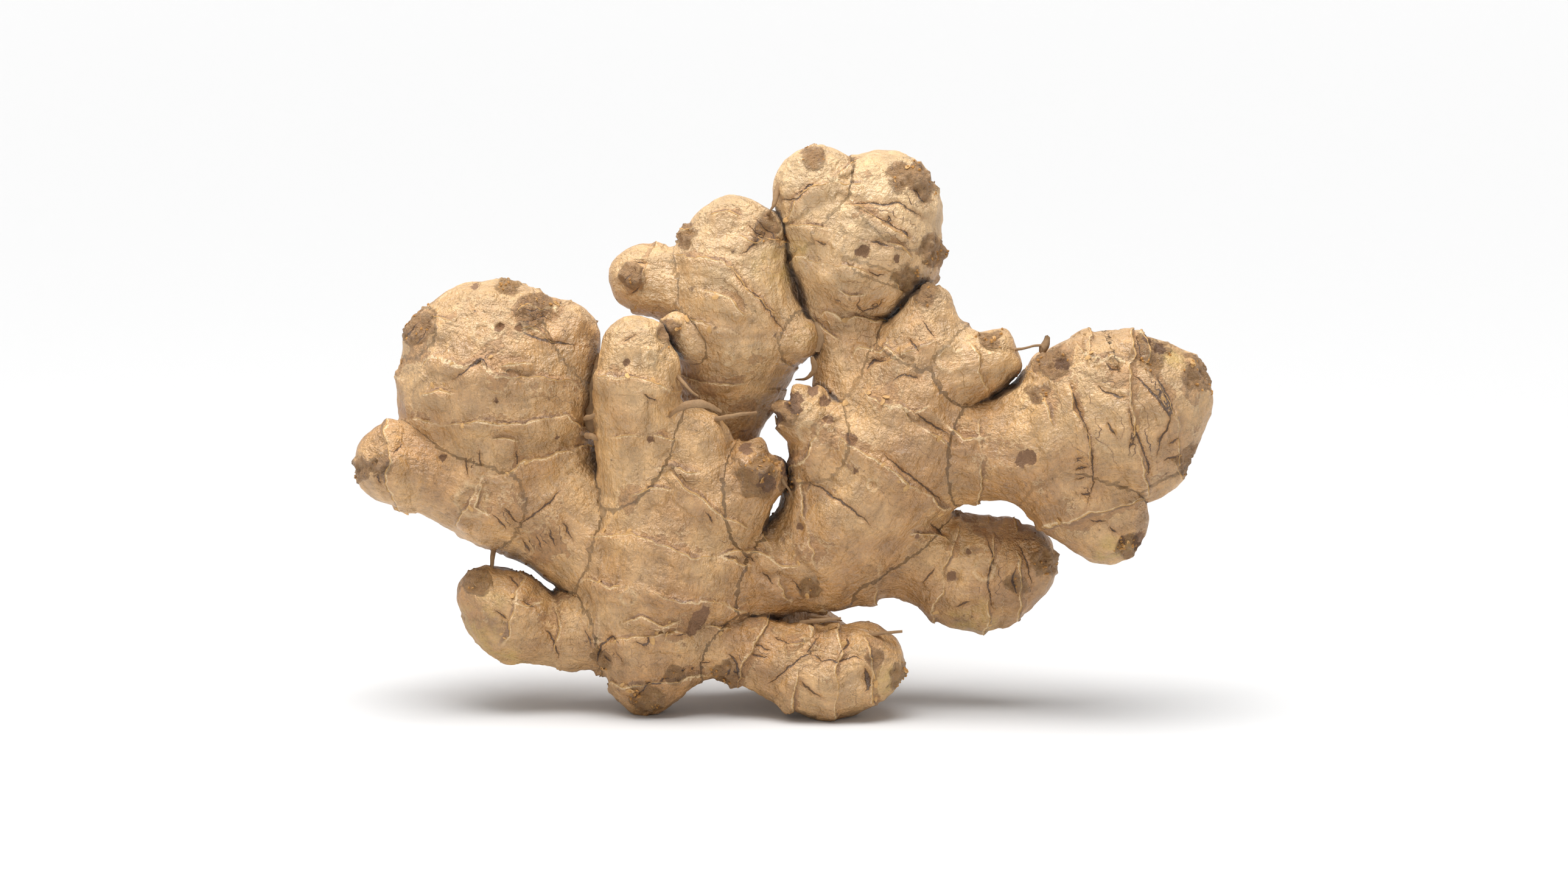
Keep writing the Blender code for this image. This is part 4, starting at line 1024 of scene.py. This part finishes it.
def swept_tree(name):
    """Sweeps a profile of so many corners along each path of the mesh, as wide as its points say."""
    tree, given, result = new_group(name, "GeometryNodeTree", (
        ("Geometry", "Geometry"), ("Spacing", "Float", 0.4 * MM), ("Corners", "Int", 3),
        ("Height", "Float", MM), ("Thickness", "Float", MM), ("Lean", "Vector", (0, 0, 0)),
        ("Material", "Material")), (("Geometry", "Geometry"),))
    paths = add(tree, "GeometryNodeMeshToCurve", {"Mesh": given["Geometry"]})
    even = add(tree, "GeometryNodeResampleCurve", {"Curve": paths, "Length": given["Spacing"]},
               mode="LENGTH")
    out = add(tree, "GeometryNodeInputNamedAttribute", {"Name": "out"}, data_type="FLOAT_VECTOR")
    turned = add(tree, "GeometryNodeSetCurveNormal", {
        "Curve": even, "Normal": out.outputs["Attribute"]}, mode="FREE")
    circle = add(tree, "GeometryNodeCurvePrimitiveCircle", {
        "Resolution": given["Corners"], "Radius": 1.0})
    size = add(tree, "ShaderNodeCombineXYZ", {"X": given["Height"], "Y": given["Thickness"], "Z": 1.0})
    profile = add(tree, "GeometryNodeTransform", {"Geometry": circle, "Scale": size})
    leant = add(tree, "GeometryNodeTransform", {"Geometry": profile, "Rotation": given["Lean"]})
    scale = add(tree, "GeometryNodeInputNamedAttribute", {"Name": "vigour"})
    swept = add(tree, "GeometryNodeCurveToMesh", {
        "Curve": turned, "Profile Curve": leant, "Scale": scale.outputs["Attribute"],
        "Fill Caps": True})
    real = add(tree, "GeometryNodeRealizeInstances", {"Geometry": swept})
    done = add(tree, "GeometryNodeSetMaterial", {"Geometry": real, "Material": given["Material"]})
    feed(result.inputs["Geometry"], done)
    return tree


def scattered_tree(name):
    """Strews rough bits over the faces, as thickly as a named value of the skin says."""
    tree, given, result = new_group(name, "GeometryNodeTree", (
        ("Geometry", "Geometry"), ("Where", "String", ""), ("Density", "Float", 1.0),
        ("Size", "Vector", (MM, MM, MM)), ("Tilt", "Float", 3.0), ("Roughness", "Float", 0.3),
        ("Seed", "Int", 0), ("Material", "Material")), (("Geometry", "Geometry"),))
    where = add(tree, "GeometryNodeInputNamedAttribute", {"Name": given["Where"]})
    points = add(tree, "GeometryNodeDistributePointsOnFaces", {
        "Mesh": given["Geometry"], "Seed": given["Seed"],
        "Density": given["Density"] * where.outputs["Attribute"]})
    blob = add(tree, "GeometryNodeMeshIcoSphere", {"Radius": 1.0, "Subdivisions": 1})
    spread = add(tree, "FunctionNodeRandomValue", {"Seed": given["Seed"], 2: 0.45, 3: 1.35})
    size = add(tree, "ShaderNodeVectorMath", {0: given["Size"], "Scale": spread.outputs[1]},
               operation="SCALE")
    bits = add(tree, "GeometryNodeInstanceOnPoints", {
        "Points": points, "Instance": blob, "Rotation": points.outputs["Rotation"], "Scale": size})
    most = add(tree, "ShaderNodeCombineXYZ", {"X": given["Tilt"], "Y": given["Tilt"], "Z": math.pi})
    least = add(tree, "ShaderNodeVectorMath", {0: most, "Scale": -1}, operation="SCALE")
    turn = add(tree, "FunctionNodeRandomValue", {"Seed": given["Seed"], 0: least, 1: most},
               data_type="FLOAT_VECTOR")
    turned = add(tree, "GeometryNodeRotateInstances", {"Instances": bits, "Rotation": turn})
    real = add(tree, "GeometryNodeRealizeInstances", {"Geometry": turned})
    spot = add(tree, "GeometryNodeInputPosition")
    warp = add(tree, "ShaderNodeTexNoise", {"Vector": spot, "Scale": 1300.0, "Detail": 2.0})
    round_zero = add(tree, "ShaderNodeVectorMath", {0: warp.outputs["Color"], 1: (0.5, 0.5, 0.5)},
                     operation="SUBTRACT")
    push = add(tree, "ShaderNodeVectorMath", {0: round_zero, "Scale": given["Roughness"]},
               operation="SCALE")
    rough = add(tree, "GeometryNodeSetPosition", {"Geometry": real, "Offset": push})
    done = add(tree, "GeometryNodeSetMaterial", {"Geometry": rough, "Material": given["Material"]})
    feed(result.inputs["Geometry"], done)
    return tree


GROUPS = {"skin_mottle": mottle_group, "skin_fibre": fibre_group, "skin_specks": speck_group,
          "swept_paths": swept_tree, "scattered_bits": scattered_tree}


def grown(item, name, group, values):
    """The plain mesh that a shared node tree makes of an object, under that name."""
    nodes = item.modifiers.new("grow", "NODES")
    nodes.node_group = shared_group(group)
    for socket in nodes.node_group.interface.items_tree:
        if socket.in_out == "INPUT" and socket.name in values:
            nodes[socket.identifier] = values[socket.name]
    return applied(item, name)


def finish_piece(item, material, smooth=True):
    """Gives a finished piece its material, shading and body."""
    if len(item.data.polygons) == 0:
        raise RuntimeError(f"{item.name} came out empty")
    item.data.materials.clear()
    item.data.materials.append(material)
    item.data.shade_smooth() if smooth else item.data.shade_flat()
    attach(item, BODY)


def sweep(piece, paths, colours, **values):
    """Sweeps the paths into a piece with a material of its own."""
    material = scrap_material(piece, colours)
    item = grown(path_object("paths", paths), piece, "swept_paths", {
        "Height": MM, "Thickness": MM, "Lean": (0, 0, 0), "Material": material, **values})
    finish_piece(item, material)


# What a user would change.
def length_property(name, description, millimetres):
    return bpy.props.FloatProperty(
        name=name, description=description, default=millimetres * MM, unit="LENGTH")


def colour_property(name, description, default):
    return bpy.props.FloatVectorProperty(
        name=name, description=description, subtype="COLOR", size=4, min=0, max=1, default=default)


class GingerShape(bpy.types.PropertyGroup):
    """Sizes of the skin's mesh and relief."""

    cell: length_property("Cell", "Size of the cells that the skin is first meshed with", 0.62)
    triangles: bpy.props.IntProperty(
        name="Triangles", description="Triangles kept in the skin", default=192000)
    edge_height: length_property(
        "Edge height", "How far the torn edge of a leaf ring stands up", 0.95)
    fold_depth: length_property("Fold depth", "Depth of the skin's fine folds", 0.42)
    crack_depth: length_property("Crack depth", "Depth of the cracks", 0.5)
    cork_height: length_property(
        "Cork roughness", "Height of the rough cork at buds and torn ends", 1.05)


class GingerColours(bpy.types.PropertyGroup):
    """Colours of the root's surfaces."""

    pale: colour_property("Pale", "Lightest dry skin", (0.66, 0.385, 0.148, 1))
    # Painted light: the pale tone that skin higher up turns to.
    lit_top: colour_property("Young", "Pale skin high up the fingers", (0.82, 0.56, 0.285, 1))
    tan: colour_property("Tan", "Common dry skin", (0.46, 0.222, 0.058, 1))
    # Umber also paints the shadow line beyond the torn edges.
    umber: colour_property("Umber", "Brown clouds and specks", (0.26, 0.125, 0.04, 1))
    rust: colour_property("Rust", "Under skin, where the outer one peeled", (0.47, 0.22, 0.06, 1))
    cork: colour_property("Cork", "Rough cork at buds and broken ends", (0.52, 0.26, 0.075, 1))
    fresh: colour_property("Fresh", "Thin yellow skin near growing tips", (0.6, 0.39, 0.08, 1))
    # The torn edge tone also paints the light along the torn edges' rims.
    edge: colour_property("Torn edge", "Pale fibres of torn leaf edges", (0.8, 0.56, 0.29, 1))
    leaf: colour_property("Dry leaf", "Dead leaf sheaths and root hairs", (0.34, 0.205, 0.1, 1))
    scar: colour_property("Scar", "Dull brown scars", (0.19, 0.08, 0.022, 1))
    # Dark also paints the shade deep in the creases between lobes.
    dark: colour_property("Dark", "Cracks, crevices and dirt", (0.07, 0.028, 0.01, 1))


class GingerDetails(bpy.types.PropertyGroup):
    """Sizes and numbers of the small pieces on the skin."""

    seed: bpy.props.IntProperty(name="Seed", description="Draw of the small pieces", default=5)
    edge_lift: length_property("Edge lift", "How far torn leaf edges stand off the skin", 0.5)
    edge_thickness: length_property(
        "Edge thickness", "Half the thickness of a torn leaf edge at its foot", 0.16)
    crumb_size: length_property("Crumb size", "Size of the soil crumbs in the crevices", 0.42)
    grain_size: length_property("Cork grain size", "Size of the grains of cork at the buds", 0.42)
    flake_size: length_property("Flake size", "Size of the loose flakes of skin", 0.95)


class GingerStage(bpy.types.PropertyGroup):
    """Camera, light and floor."""

    tilt: bpy.props.FloatProperty(
        name="Camera tilt", description="How far the camera looks down", default=VIEW_TILT,
        subtype="ANGLE")
    distance: length_property(
        "Camera distance", "From the camera to the plane of the front foot", 966.0)
    lens: bpy.props.FloatProperty(
        name="Lens", description="Focal length in millimetres on a 36 mm sensor", default=100.0)
    overhead: bpy.props.FloatProperty(
        name="Sky light", description="Strength of the broad even light overhead", default=3.1)
    overhead_spread: bpy.props.FloatProperty(
        name="Sky spread", description="Angle that the broad light fills",
        default=math.radians(45), subtype="ANGLE")
    softbox: bpy.props.FloatProperty(
        name="Softbox", description="Power of the round soft lamp close above the root", default=0.75)
    surround: bpy.props.FloatProperty(
        name="Surround", description="Brightness of the white room", default=0.42)
    floor: colour_property("Floor", "Colour of the floor and the rim round it", (0.68, 0.68, 0.68, 1))


class GingerSettings(bpy.types.PropertyGroup):
    """Everything that the ginger root's panel shows."""

    shape: bpy.props.PointerProperty(type=GingerShape)
    colours: bpy.props.PointerProperty(type=GingerColours)
    details: bpy.props.PointerProperty(type=GingerDetails)
    stage: bpy.props.PointerProperty(type=GingerStage)


def lofted_skin(lobes, cell):
    """The lobes' lofts joined in one closed mesh of small cells."""
    mesh = bmesh.new()
    for lobe in lobes.values():
        loft(mesh, lobe)
    bmesh.ops.recalc_face_normals(mesh, faces=mesh.faces)
    data = bpy.data.meshes.new("lofted_lobes")
    mesh.to_mesh(data)
    mesh.free()
    lofted = new_object("lofted_lobes", data)
    joined = lofted.modifiers.new("join", "REMESH")
    joined.mode, joined.voxel_size, joined.adaptivity = "VOXEL", cell, 0
    return applied(lofted, "settling_skin")


def thinned(item, name, triangles):
    """The same mesh with about this many triangles, fewest where it is plain."""
    item.modifiers.new("triangles", "TRIANGULATE")
    fewer = item.modifiers.new("fewer", "DECIMATE")
    fewer.ratio = triangles / (2 * len(item.data.polygons))
    return applied(item, name)


def settled(lobes, points):
    """The points moved onto the melted lobes."""
    for _ in range(SETTLE_ROUNDS):
        shape = Shape(lobes, points)
        steepness = np.maximum((shape.away ** 2).sum(axis=1), TINY)
        points = points - shape.away * (shape.gap / steepness)[:, None]
    return points


def torn_paths(mesh):
    """The torn edges as paths on the skin: rows of (point, normal, force), one list for each path."""
    past, force = read_values(mesh, "edge_gap"), read_values(mesh, "edge_force")
    index = read_values(mesh, "edge_index")
    corners = np.empty(len(mesh.loops), np.int32)
    mesh.loops.foreach_get("vertex_index", corners)
    corners = corners.reshape(-1, 3)
    points, normals = points_of(mesh), rows_of(mesh, "normal")
    crossed = past[corners]
    same = (index[corners] == index[corners][:, :1]).all(axis=1) & (index[corners][:, 0] >= 0)
    wanted = same & (crossed.min(axis=1) < 0) & (crossed.max(axis=1) >= 0)
    wanted &= (np.abs(crossed).max(axis=1) < 1.5) & (force[corners].min(axis=1) > LEAST_FORCE)

    spots, joins = {}, {}
    for triangle in corners[wanted]:
        keys = []
        for one, two in zip(triangle, np.roll(triangle, -1)):
            if (past[one] < 0) == (past[two] < 0):
                continue
            key = (min(one, two), max(one, two))
            t = past[key[0]] / (past[key[0]] - past[key[1]])
            spots[key] = [v[key[0]] + t * (v[key[1]] - v[key[0]]) for v in (points, normals, force)]
            keys.append(key)
        tip_side = points[triangle[past[triangle].argmax()]]
        run = spots[keys[1]][0] - spots[keys[0]][0]
        across = tip_side - spots[keys[0]][0]
        if np.dot(np.cross(run, across), spots[keys[0]][1]) < 0:
            keys.reverse()
        joins[keys[0]] = keys[1]
    starts = [key for key in joins if key not in set(joins.values())]
    paths, used = [], set()
    for key in starts + list(joins):
        path = []
        while key in spots and key not in used:
            used.add(key)
            path.append(spots[key])
            key = joins.get(key)
        if len(path) > SHORTEST_PATH:
            paths.append(path)
    return paths


def path_object(name, paths):
    """Paths as chains of mesh edges whose points know which way is out and how wide to grow."""
    rows = [row for path in paths for row in path]
    links, start = [], 0
    for path in paths:
        links += [(k, k + 1) for k in range(start, start + len(path) - 1)]
        start += len(path)
    mesh = bpy.data.meshes.new(name)
    mesh.from_pydata([tuple(point * MM) for point, _, _ in rows], links, [])
    write_values(mesh, "out", np.array([out for _, out, _ in rows]))
    write_values(mesh, "vigour", np.array([vigour for _, _, vigour in rows], dtype=float))
    return new_object(name, mesh)


class GINGER_OT_skin(bpy.types.Operator):
    """Build the root's skin with its torn edges, cracks, scars, folds and cork"""

    bl_idname = "ginger.skin"
    bl_label = "Skin"

    def execute(self, context):
        settings = context.scene.ginger
        sizes = settings.shape
        lobes = {name: Lobe(*facts) for name, facts in LOBES.items()}
        item = lofted_skin(lobes, sizes.cell)
        points = settled(lobes, points_of(item.data))
        shape = Shape(lobes, points)
        outward = shape.outward()
        marks = skin_marks(shape, outward)
        relief = PLUMPNESS + mark_relief(shape, outward)
        for k, (size, height) in enumerate(LUMP_SIZES):
            relief += height * noise(points / size, k)
        relief += edge_relief(Edges(shape, outward), sizes.edge_height / MM)
        relief += sizes.fold_depth / MM * marks["folds"]
        for k, (size, share) in enumerate(CORK_LUMPS):
            lumps = noise(points / size, 60 + k)
            relief += share * sizes.cork_height / MM * marks["cork"] * lumps
        crack_gap = np.abs(marks["crack_past"]) - marks["crack_half"]
        relief -= sizes.crack_depth / MM * (1 - step(-0.1, 0.7, crack_gap))
        relief -= SCAR_DEPTH * marks["scar"]
        relief += EYE_HEIGHT * marks["eye"]
        points = points + outward * relief[:, None]
        points[:, 2] = np.maximum(points[:, 2], 0)
        item.data.vertices.foreach_set("co", (points * MM).ravel())
        item.data.update()
        item = thinned(item, "ginger_skin", sizes.triangles)

        shape = Shape(lobes, points_of(item.data))
        outward = shape.outward()
        edges = Edges(shape, outward)
        marks = skin_marks(shape, outward)
        hollows = hollow(lobes, shape.points, outward)
        off_floor = step(1.5, 3.0, shape.points[:, 2])
        near_edge = edges.force * np.exp(-(edges.past / 0.9) ** 2)
        patchy = step(0.0, 0.6, noise(shape.points / 4.0, 80))
        values = {
            "edge_gap": edges.past, "edge_force": edges.force, "edge_index": edges.index.astype(float),
            "grain": shape.grain * MM, "hollow": hollows, **marks,
            "fresh": patches(shape, outward, FRESH_PATCHES, FRESH_RAG),
            "grains": off_floor * marks["cork"] * patchy,
            "crumbs": off_floor * step(0.5, 0.9, hollows) * patchy,
            "flakes": off_floor * (near_edge + 0.5 * marks["cork"]) * patchy,
        }
        for name, value in values.items():
            write_values(item.data, name, value)
        finish_piece(item, skin_material(settings.colours))
        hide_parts(NODE)
        return {"FINISHED"}


class GINGER_OT_torn_edges(bpy.types.Operator):
    """Stand the pale ragged edges of the torn scale leaves up along their rings"""

    bl_idname = "ginger.torn_edges"
    bl_label = "Torn Leaf Edges"

    def execute(self, context):
        details, colours = context.scene.ginger.details, context.scene.ginger.colours
        paths = torn_paths(bpy.data.objects["ginger_skin"].data)
        rows = np.array([point for path in paths for point, _, _ in path])
        teeth = 0.55 + 0.55 * noise(rows / 1.1, 90) + 0.3 * noise(rows / 0.5, 91)
        torn = step(-0.55, 0.1, noise(rows / 5.0, 92))
        vigour = iter(np.clip(teeth, 0.15, 1.5) * (0.25 + 0.75 * torn))
        for path in paths:
            last = len(path) - 1
            for k, row in enumerate(path):
                ends = min(1, (k + 0.5) / 4, (last - k + 0.5) / 4)
                path[k] = (row[0], row[1], next(vigour) * ends * min(1, 0.4 + row[2]))
        sweep("torn_edges", paths, colours, Spacing=EDGE_SPACING * MM, Corners=3,
              Height=details.edge_lift, Thickness=details.edge_thickness, Lean=(0, 0, EDGE_LEAN))
        return {"FINISHED"}


class GINGER_OT_root_hairs(bpy.types.Operator):
    """Grow the broken root hairs and dry stubs"""

    bl_idname = "ginger.root_hairs"
    bl_label = "Root Hairs"

    def execute(self, context):
        settings = context.scene.ginger
        paths = [self.hair(points, radii) for points, radii in HAIRS]
        paths += self.stubs(settings.details.seed)
        sweep("root_hairs", paths, settings.colours, Spacing=HAIR_SPACING * MM, Corners=6)
        return {"FINISHED"}

    def hair(self, points, radii):
        """A kinked hair through front-view points, with a radius at each."""
        spine = np.array([[*standing(*point), radius] for point, radius in zip(points, radii)])
        path = smooth_path(spine, 6)
        kink = np.column_stack([noise(path[:, :3] / 2.0, 89 + k) for k in range(3)])
        return [(row[:3] + 0.25 * jog, np.array((0.0, -0.3, 1.0)), row[3])
                for row, jog in zip(path, kink)]

    def stubs(self, seed):
        """Short broken hairs that stand out of the skin here and there."""
        skin = bpy.data.objects["ginger_skin"].data
        points, normals = points_of(skin), rows_of(skin, "normal")
        likely = np.flatnonzero((read_values(skin, "cork") > 0.3) & (points[:, 2] > 8))
        draw = np.random.default_rng(seed)
        paths = []
        for start in draw.choice(likely, STUBS, replace=False):
            way = normals[start] + draw.normal(0, 0.5, 3)
            way /= np.linalg.norm(way)
            length, radius = draw.uniform(0.4, 1.3), draw.uniform(0.18, 0.34)
            foot = points[start] - STUB_SUNK * way
            paths.append([(foot + way * (STUB_SUNK + length) * t, np.array((0.2, -0.3, 1.0)),
                           radius * (1.2 - 0.6 * t)) for t in (0, 0.35, 0.7, 1)])
        return paths


class GINGER_OT_sheaths(bpy.types.Operator):
    """Hang the dry strips of old leaf in the gaps between the fingers"""

    bl_idname = "ginger.sheaths"
    bl_label = "Dry Sheaths"

    def execute(self, context):
        paths = []
        for out, *rows in SHEATHS:
            spine = np.array([[*standing(*row[:3]), row[3]] for row in rows])
            path = smooth_path(spine, 8)
            rag = 1 + 0.25 * noise(path[:, :3] / 1.2, 95)
            paths.append([(row[:3], np.array(out, dtype=float), row[3] * r)
                          for row, r in zip(path, rag)])
        sweep("dry_sheaths", paths, context.scene.ginger.colours, Spacing=SHEATH_SPACING * MM,
              Corners=8, Thickness=SHEATH_THICKNESS * MM)
        return {"FINISHED"}


class GINGER_OT_bits(bpy.types.Operator):
    """Strew flakes along the torn edges, cork grains on the buds and crumbs in the crevices"""

    bl_idname = "ginger.bits"
    bl_label = "Flakes, Grains and Crumbs"

    def execute(self, context):
        details, colours = context.scene.ginger.details, context.scene.ginger.colours
        flake, grain, crumb = details.flake_size, details.grain_size, details.crumb_size
        for name, where, density, size, tilt in (
                ("skin_flakes", "flakes", FLAKES, (flake, 0.6 * flake, 0.16 * flake), 0.5),
                ("cork_grains", "grains", GRAINS, (grain, 0.8 * grain, 0.6 * grain), 3.0),
                ("soil_crumbs", "crumbs", CRUMBS, (crumb, 0.85 * crumb, 0.7 * crumb), 3.0)):
            material = scrap_material(name, colours)
            carrier = new_object("carrier", bpy.data.objects["ginger_skin"].data.copy())
            item = grown(carrier, name, "scattered_bits", {
                "Where": where, "Density": density, "Size": size, "Tilt": tilt,
                "Roughness": 0.5 * grain, "Seed": details.seed, "Material": material})
            finish_piece(item, material, smooth=False)
        return {"FINISHED"}


class GINGER_OT_stage(bpy.types.Operator):
    """Lay the floor, aim the camera and set the lights"""

    bl_idname = "ginger.stage"
    bl_label = "Stage"

    def execute(self, context):
        stage = context.scene.ginger.stage
        self.floor(stage)
        self.camera(context, stage)
        self.lights(context, stage)
        return {"FINISHED"}

    def floor(self, stage):
        """A wide pale floor whose rim curves up all the way round."""
        profile = [(0.0, 0.0), (1.0, 0.0), (FLOOR_RADIUS, 0.0)]
        for k in range(1, RIM_STEPS + 1):
            turn = math.pi / 2 * k / RIM_STEPS
            profile.append((FLOOR_RADIUS + RIM_BEND * math.sin(turn), RIM_BEND * (1 - math.cos(turn))))
        mesh = bmesh.new()
        line = [mesh.verts.new((x, 0, z)) for x, z in profile]
        edges = [mesh.edges.new(pair) for pair in zip(line, line[1:])]
        bmesh.ops.spin(mesh, geom=line + edges, cent=(0, 0, 0), axis=(0, 0, 1),
                       angle=2 * math.pi, steps=FLOOR_SIDES, use_merge=True)
        bmesh.ops.remove_doubles(mesh, verts=mesh.verts, dist=1e-5)
        bmesh.ops.recalc_face_normals(mesh, faces=mesh.faces)
        data = bpy.data.meshes.new("floor")
        mesh.to_mesh(data)
        mesh.free()
        data.shade_smooth()
        material, _, shader, _ = new_material("matt_white_floor", 0.9)
        shader.inputs["Base Color"].default_value = stage.floor
        shader.inputs["Specular IOR Level"].default_value = 0.1
        data.materials.append(material)
        new_object("floor", data)

    def camera(self, context, stage):
        """Looks at the root as the photograph does."""
        data = bpy.data.cameras.new("camera")
        data.lens, data.sensor_width = stage.lens, SENSOR_WIDTH
        camera = bpy.data.objects.new("camera", data)
        context.scene.collection.objects.link(camera)
        aim = Vector(standing(AIM_ACROSS, AIM_UP, FRONT_FOOT_DEPTH) * MM)
        look = Vector((0, math.cos(stage.tilt), -math.sin(stage.tilt)))
        camera.location = aim - look * stage.distance
        camera.rotation_euler = (math.pi / 2 - stage.tilt, 0, 0)
        context.scene.camera = camera

    def lights(self, context, stage):
        """An even light overhead and a round soft lamp close by, in a white room."""
        sky = bpy.data.lights.new("overhead", "SUN")
        sky.energy, sky.angle = stage.overhead, stage.overhead_spread
        softbox = bpy.data.lights.new("softbox", "AREA")
        softbox.shape, softbox.size, softbox.energy = "DISK", SOFTBOX_SIZE, stage.softbox
        for data, place in ((sky, OVERHEAD_FROM), (softbox, SOFTBOX_PLACE)):
            lamp = bpy.data.objects.new(data.name, data)
            lamp.location = place
            away = Vector(place) - Vector(LIT_POINT)
            lamp.rotation_euler = away.to_track_quat("Z", "Y").to_euler()
            lamp.visible_camera = False
            context.scene.collection.objects.link(lamp)
        world = bpy.data.worlds.new("white_room")
        world.use_nodes = True
        room = world.node_tree.nodes["Background"]
        room.inputs["Color"].default_value = (1, 1, 1, 1)
        room.inputs["Strength"].default_value = stage.surround
        context.scene.world = world
        context.scene.view_settings.view_transform = "Standard"


OPERATORS = (GINGER_OT_skin, GINGER_OT_torn_edges, GINGER_OT_root_hairs, GINGER_OT_sheaths,
             GINGER_OT_bits, GINGER_OT_stage)


class GINGER_PT_panel(bpy.types.Panel):
    """Builds the ginger root piece by piece"""

    bl_idname = "GINGER_PT_panel"
    bl_label = "Ginger Root"
    bl_space_type = "VIEW_3D"
    bl_region_type = "UI"
    bl_category = "Ginger Root"

    def draw(self, context):
        settings = context.scene.ginger
        for operator in OPERATORS:
            self.layout.operator(operator.bl_idname)
        for group in (settings.shape, settings.colours, settings.details, settings.stage):
            box = self.layout.box()
            for name in group.__annotations__:
                box.prop(group, name)


CLASSES = (GingerShape, GingerColours, GingerDetails, GingerStage, GingerSettings,
           *OPERATORS, GINGER_PT_panel)


def register():
    for item in CLASSES:
        bpy.utils.register_class(item)
    bpy.types.Scene.ginger = bpy.props.PointerProperty(type=GingerSettings)


def unregister():
    del bpy.types.Scene.ginger
    for item in reversed(CLASSES):
        bpy.utils.unregister_class(item)


def main():
    register()
    for operator in OPERATORS:
        group, name = operator.bl_idname.split(".")
        getattr(getattr(bpy.ops, group), name)()


if __name__ == "__main__":
    main()
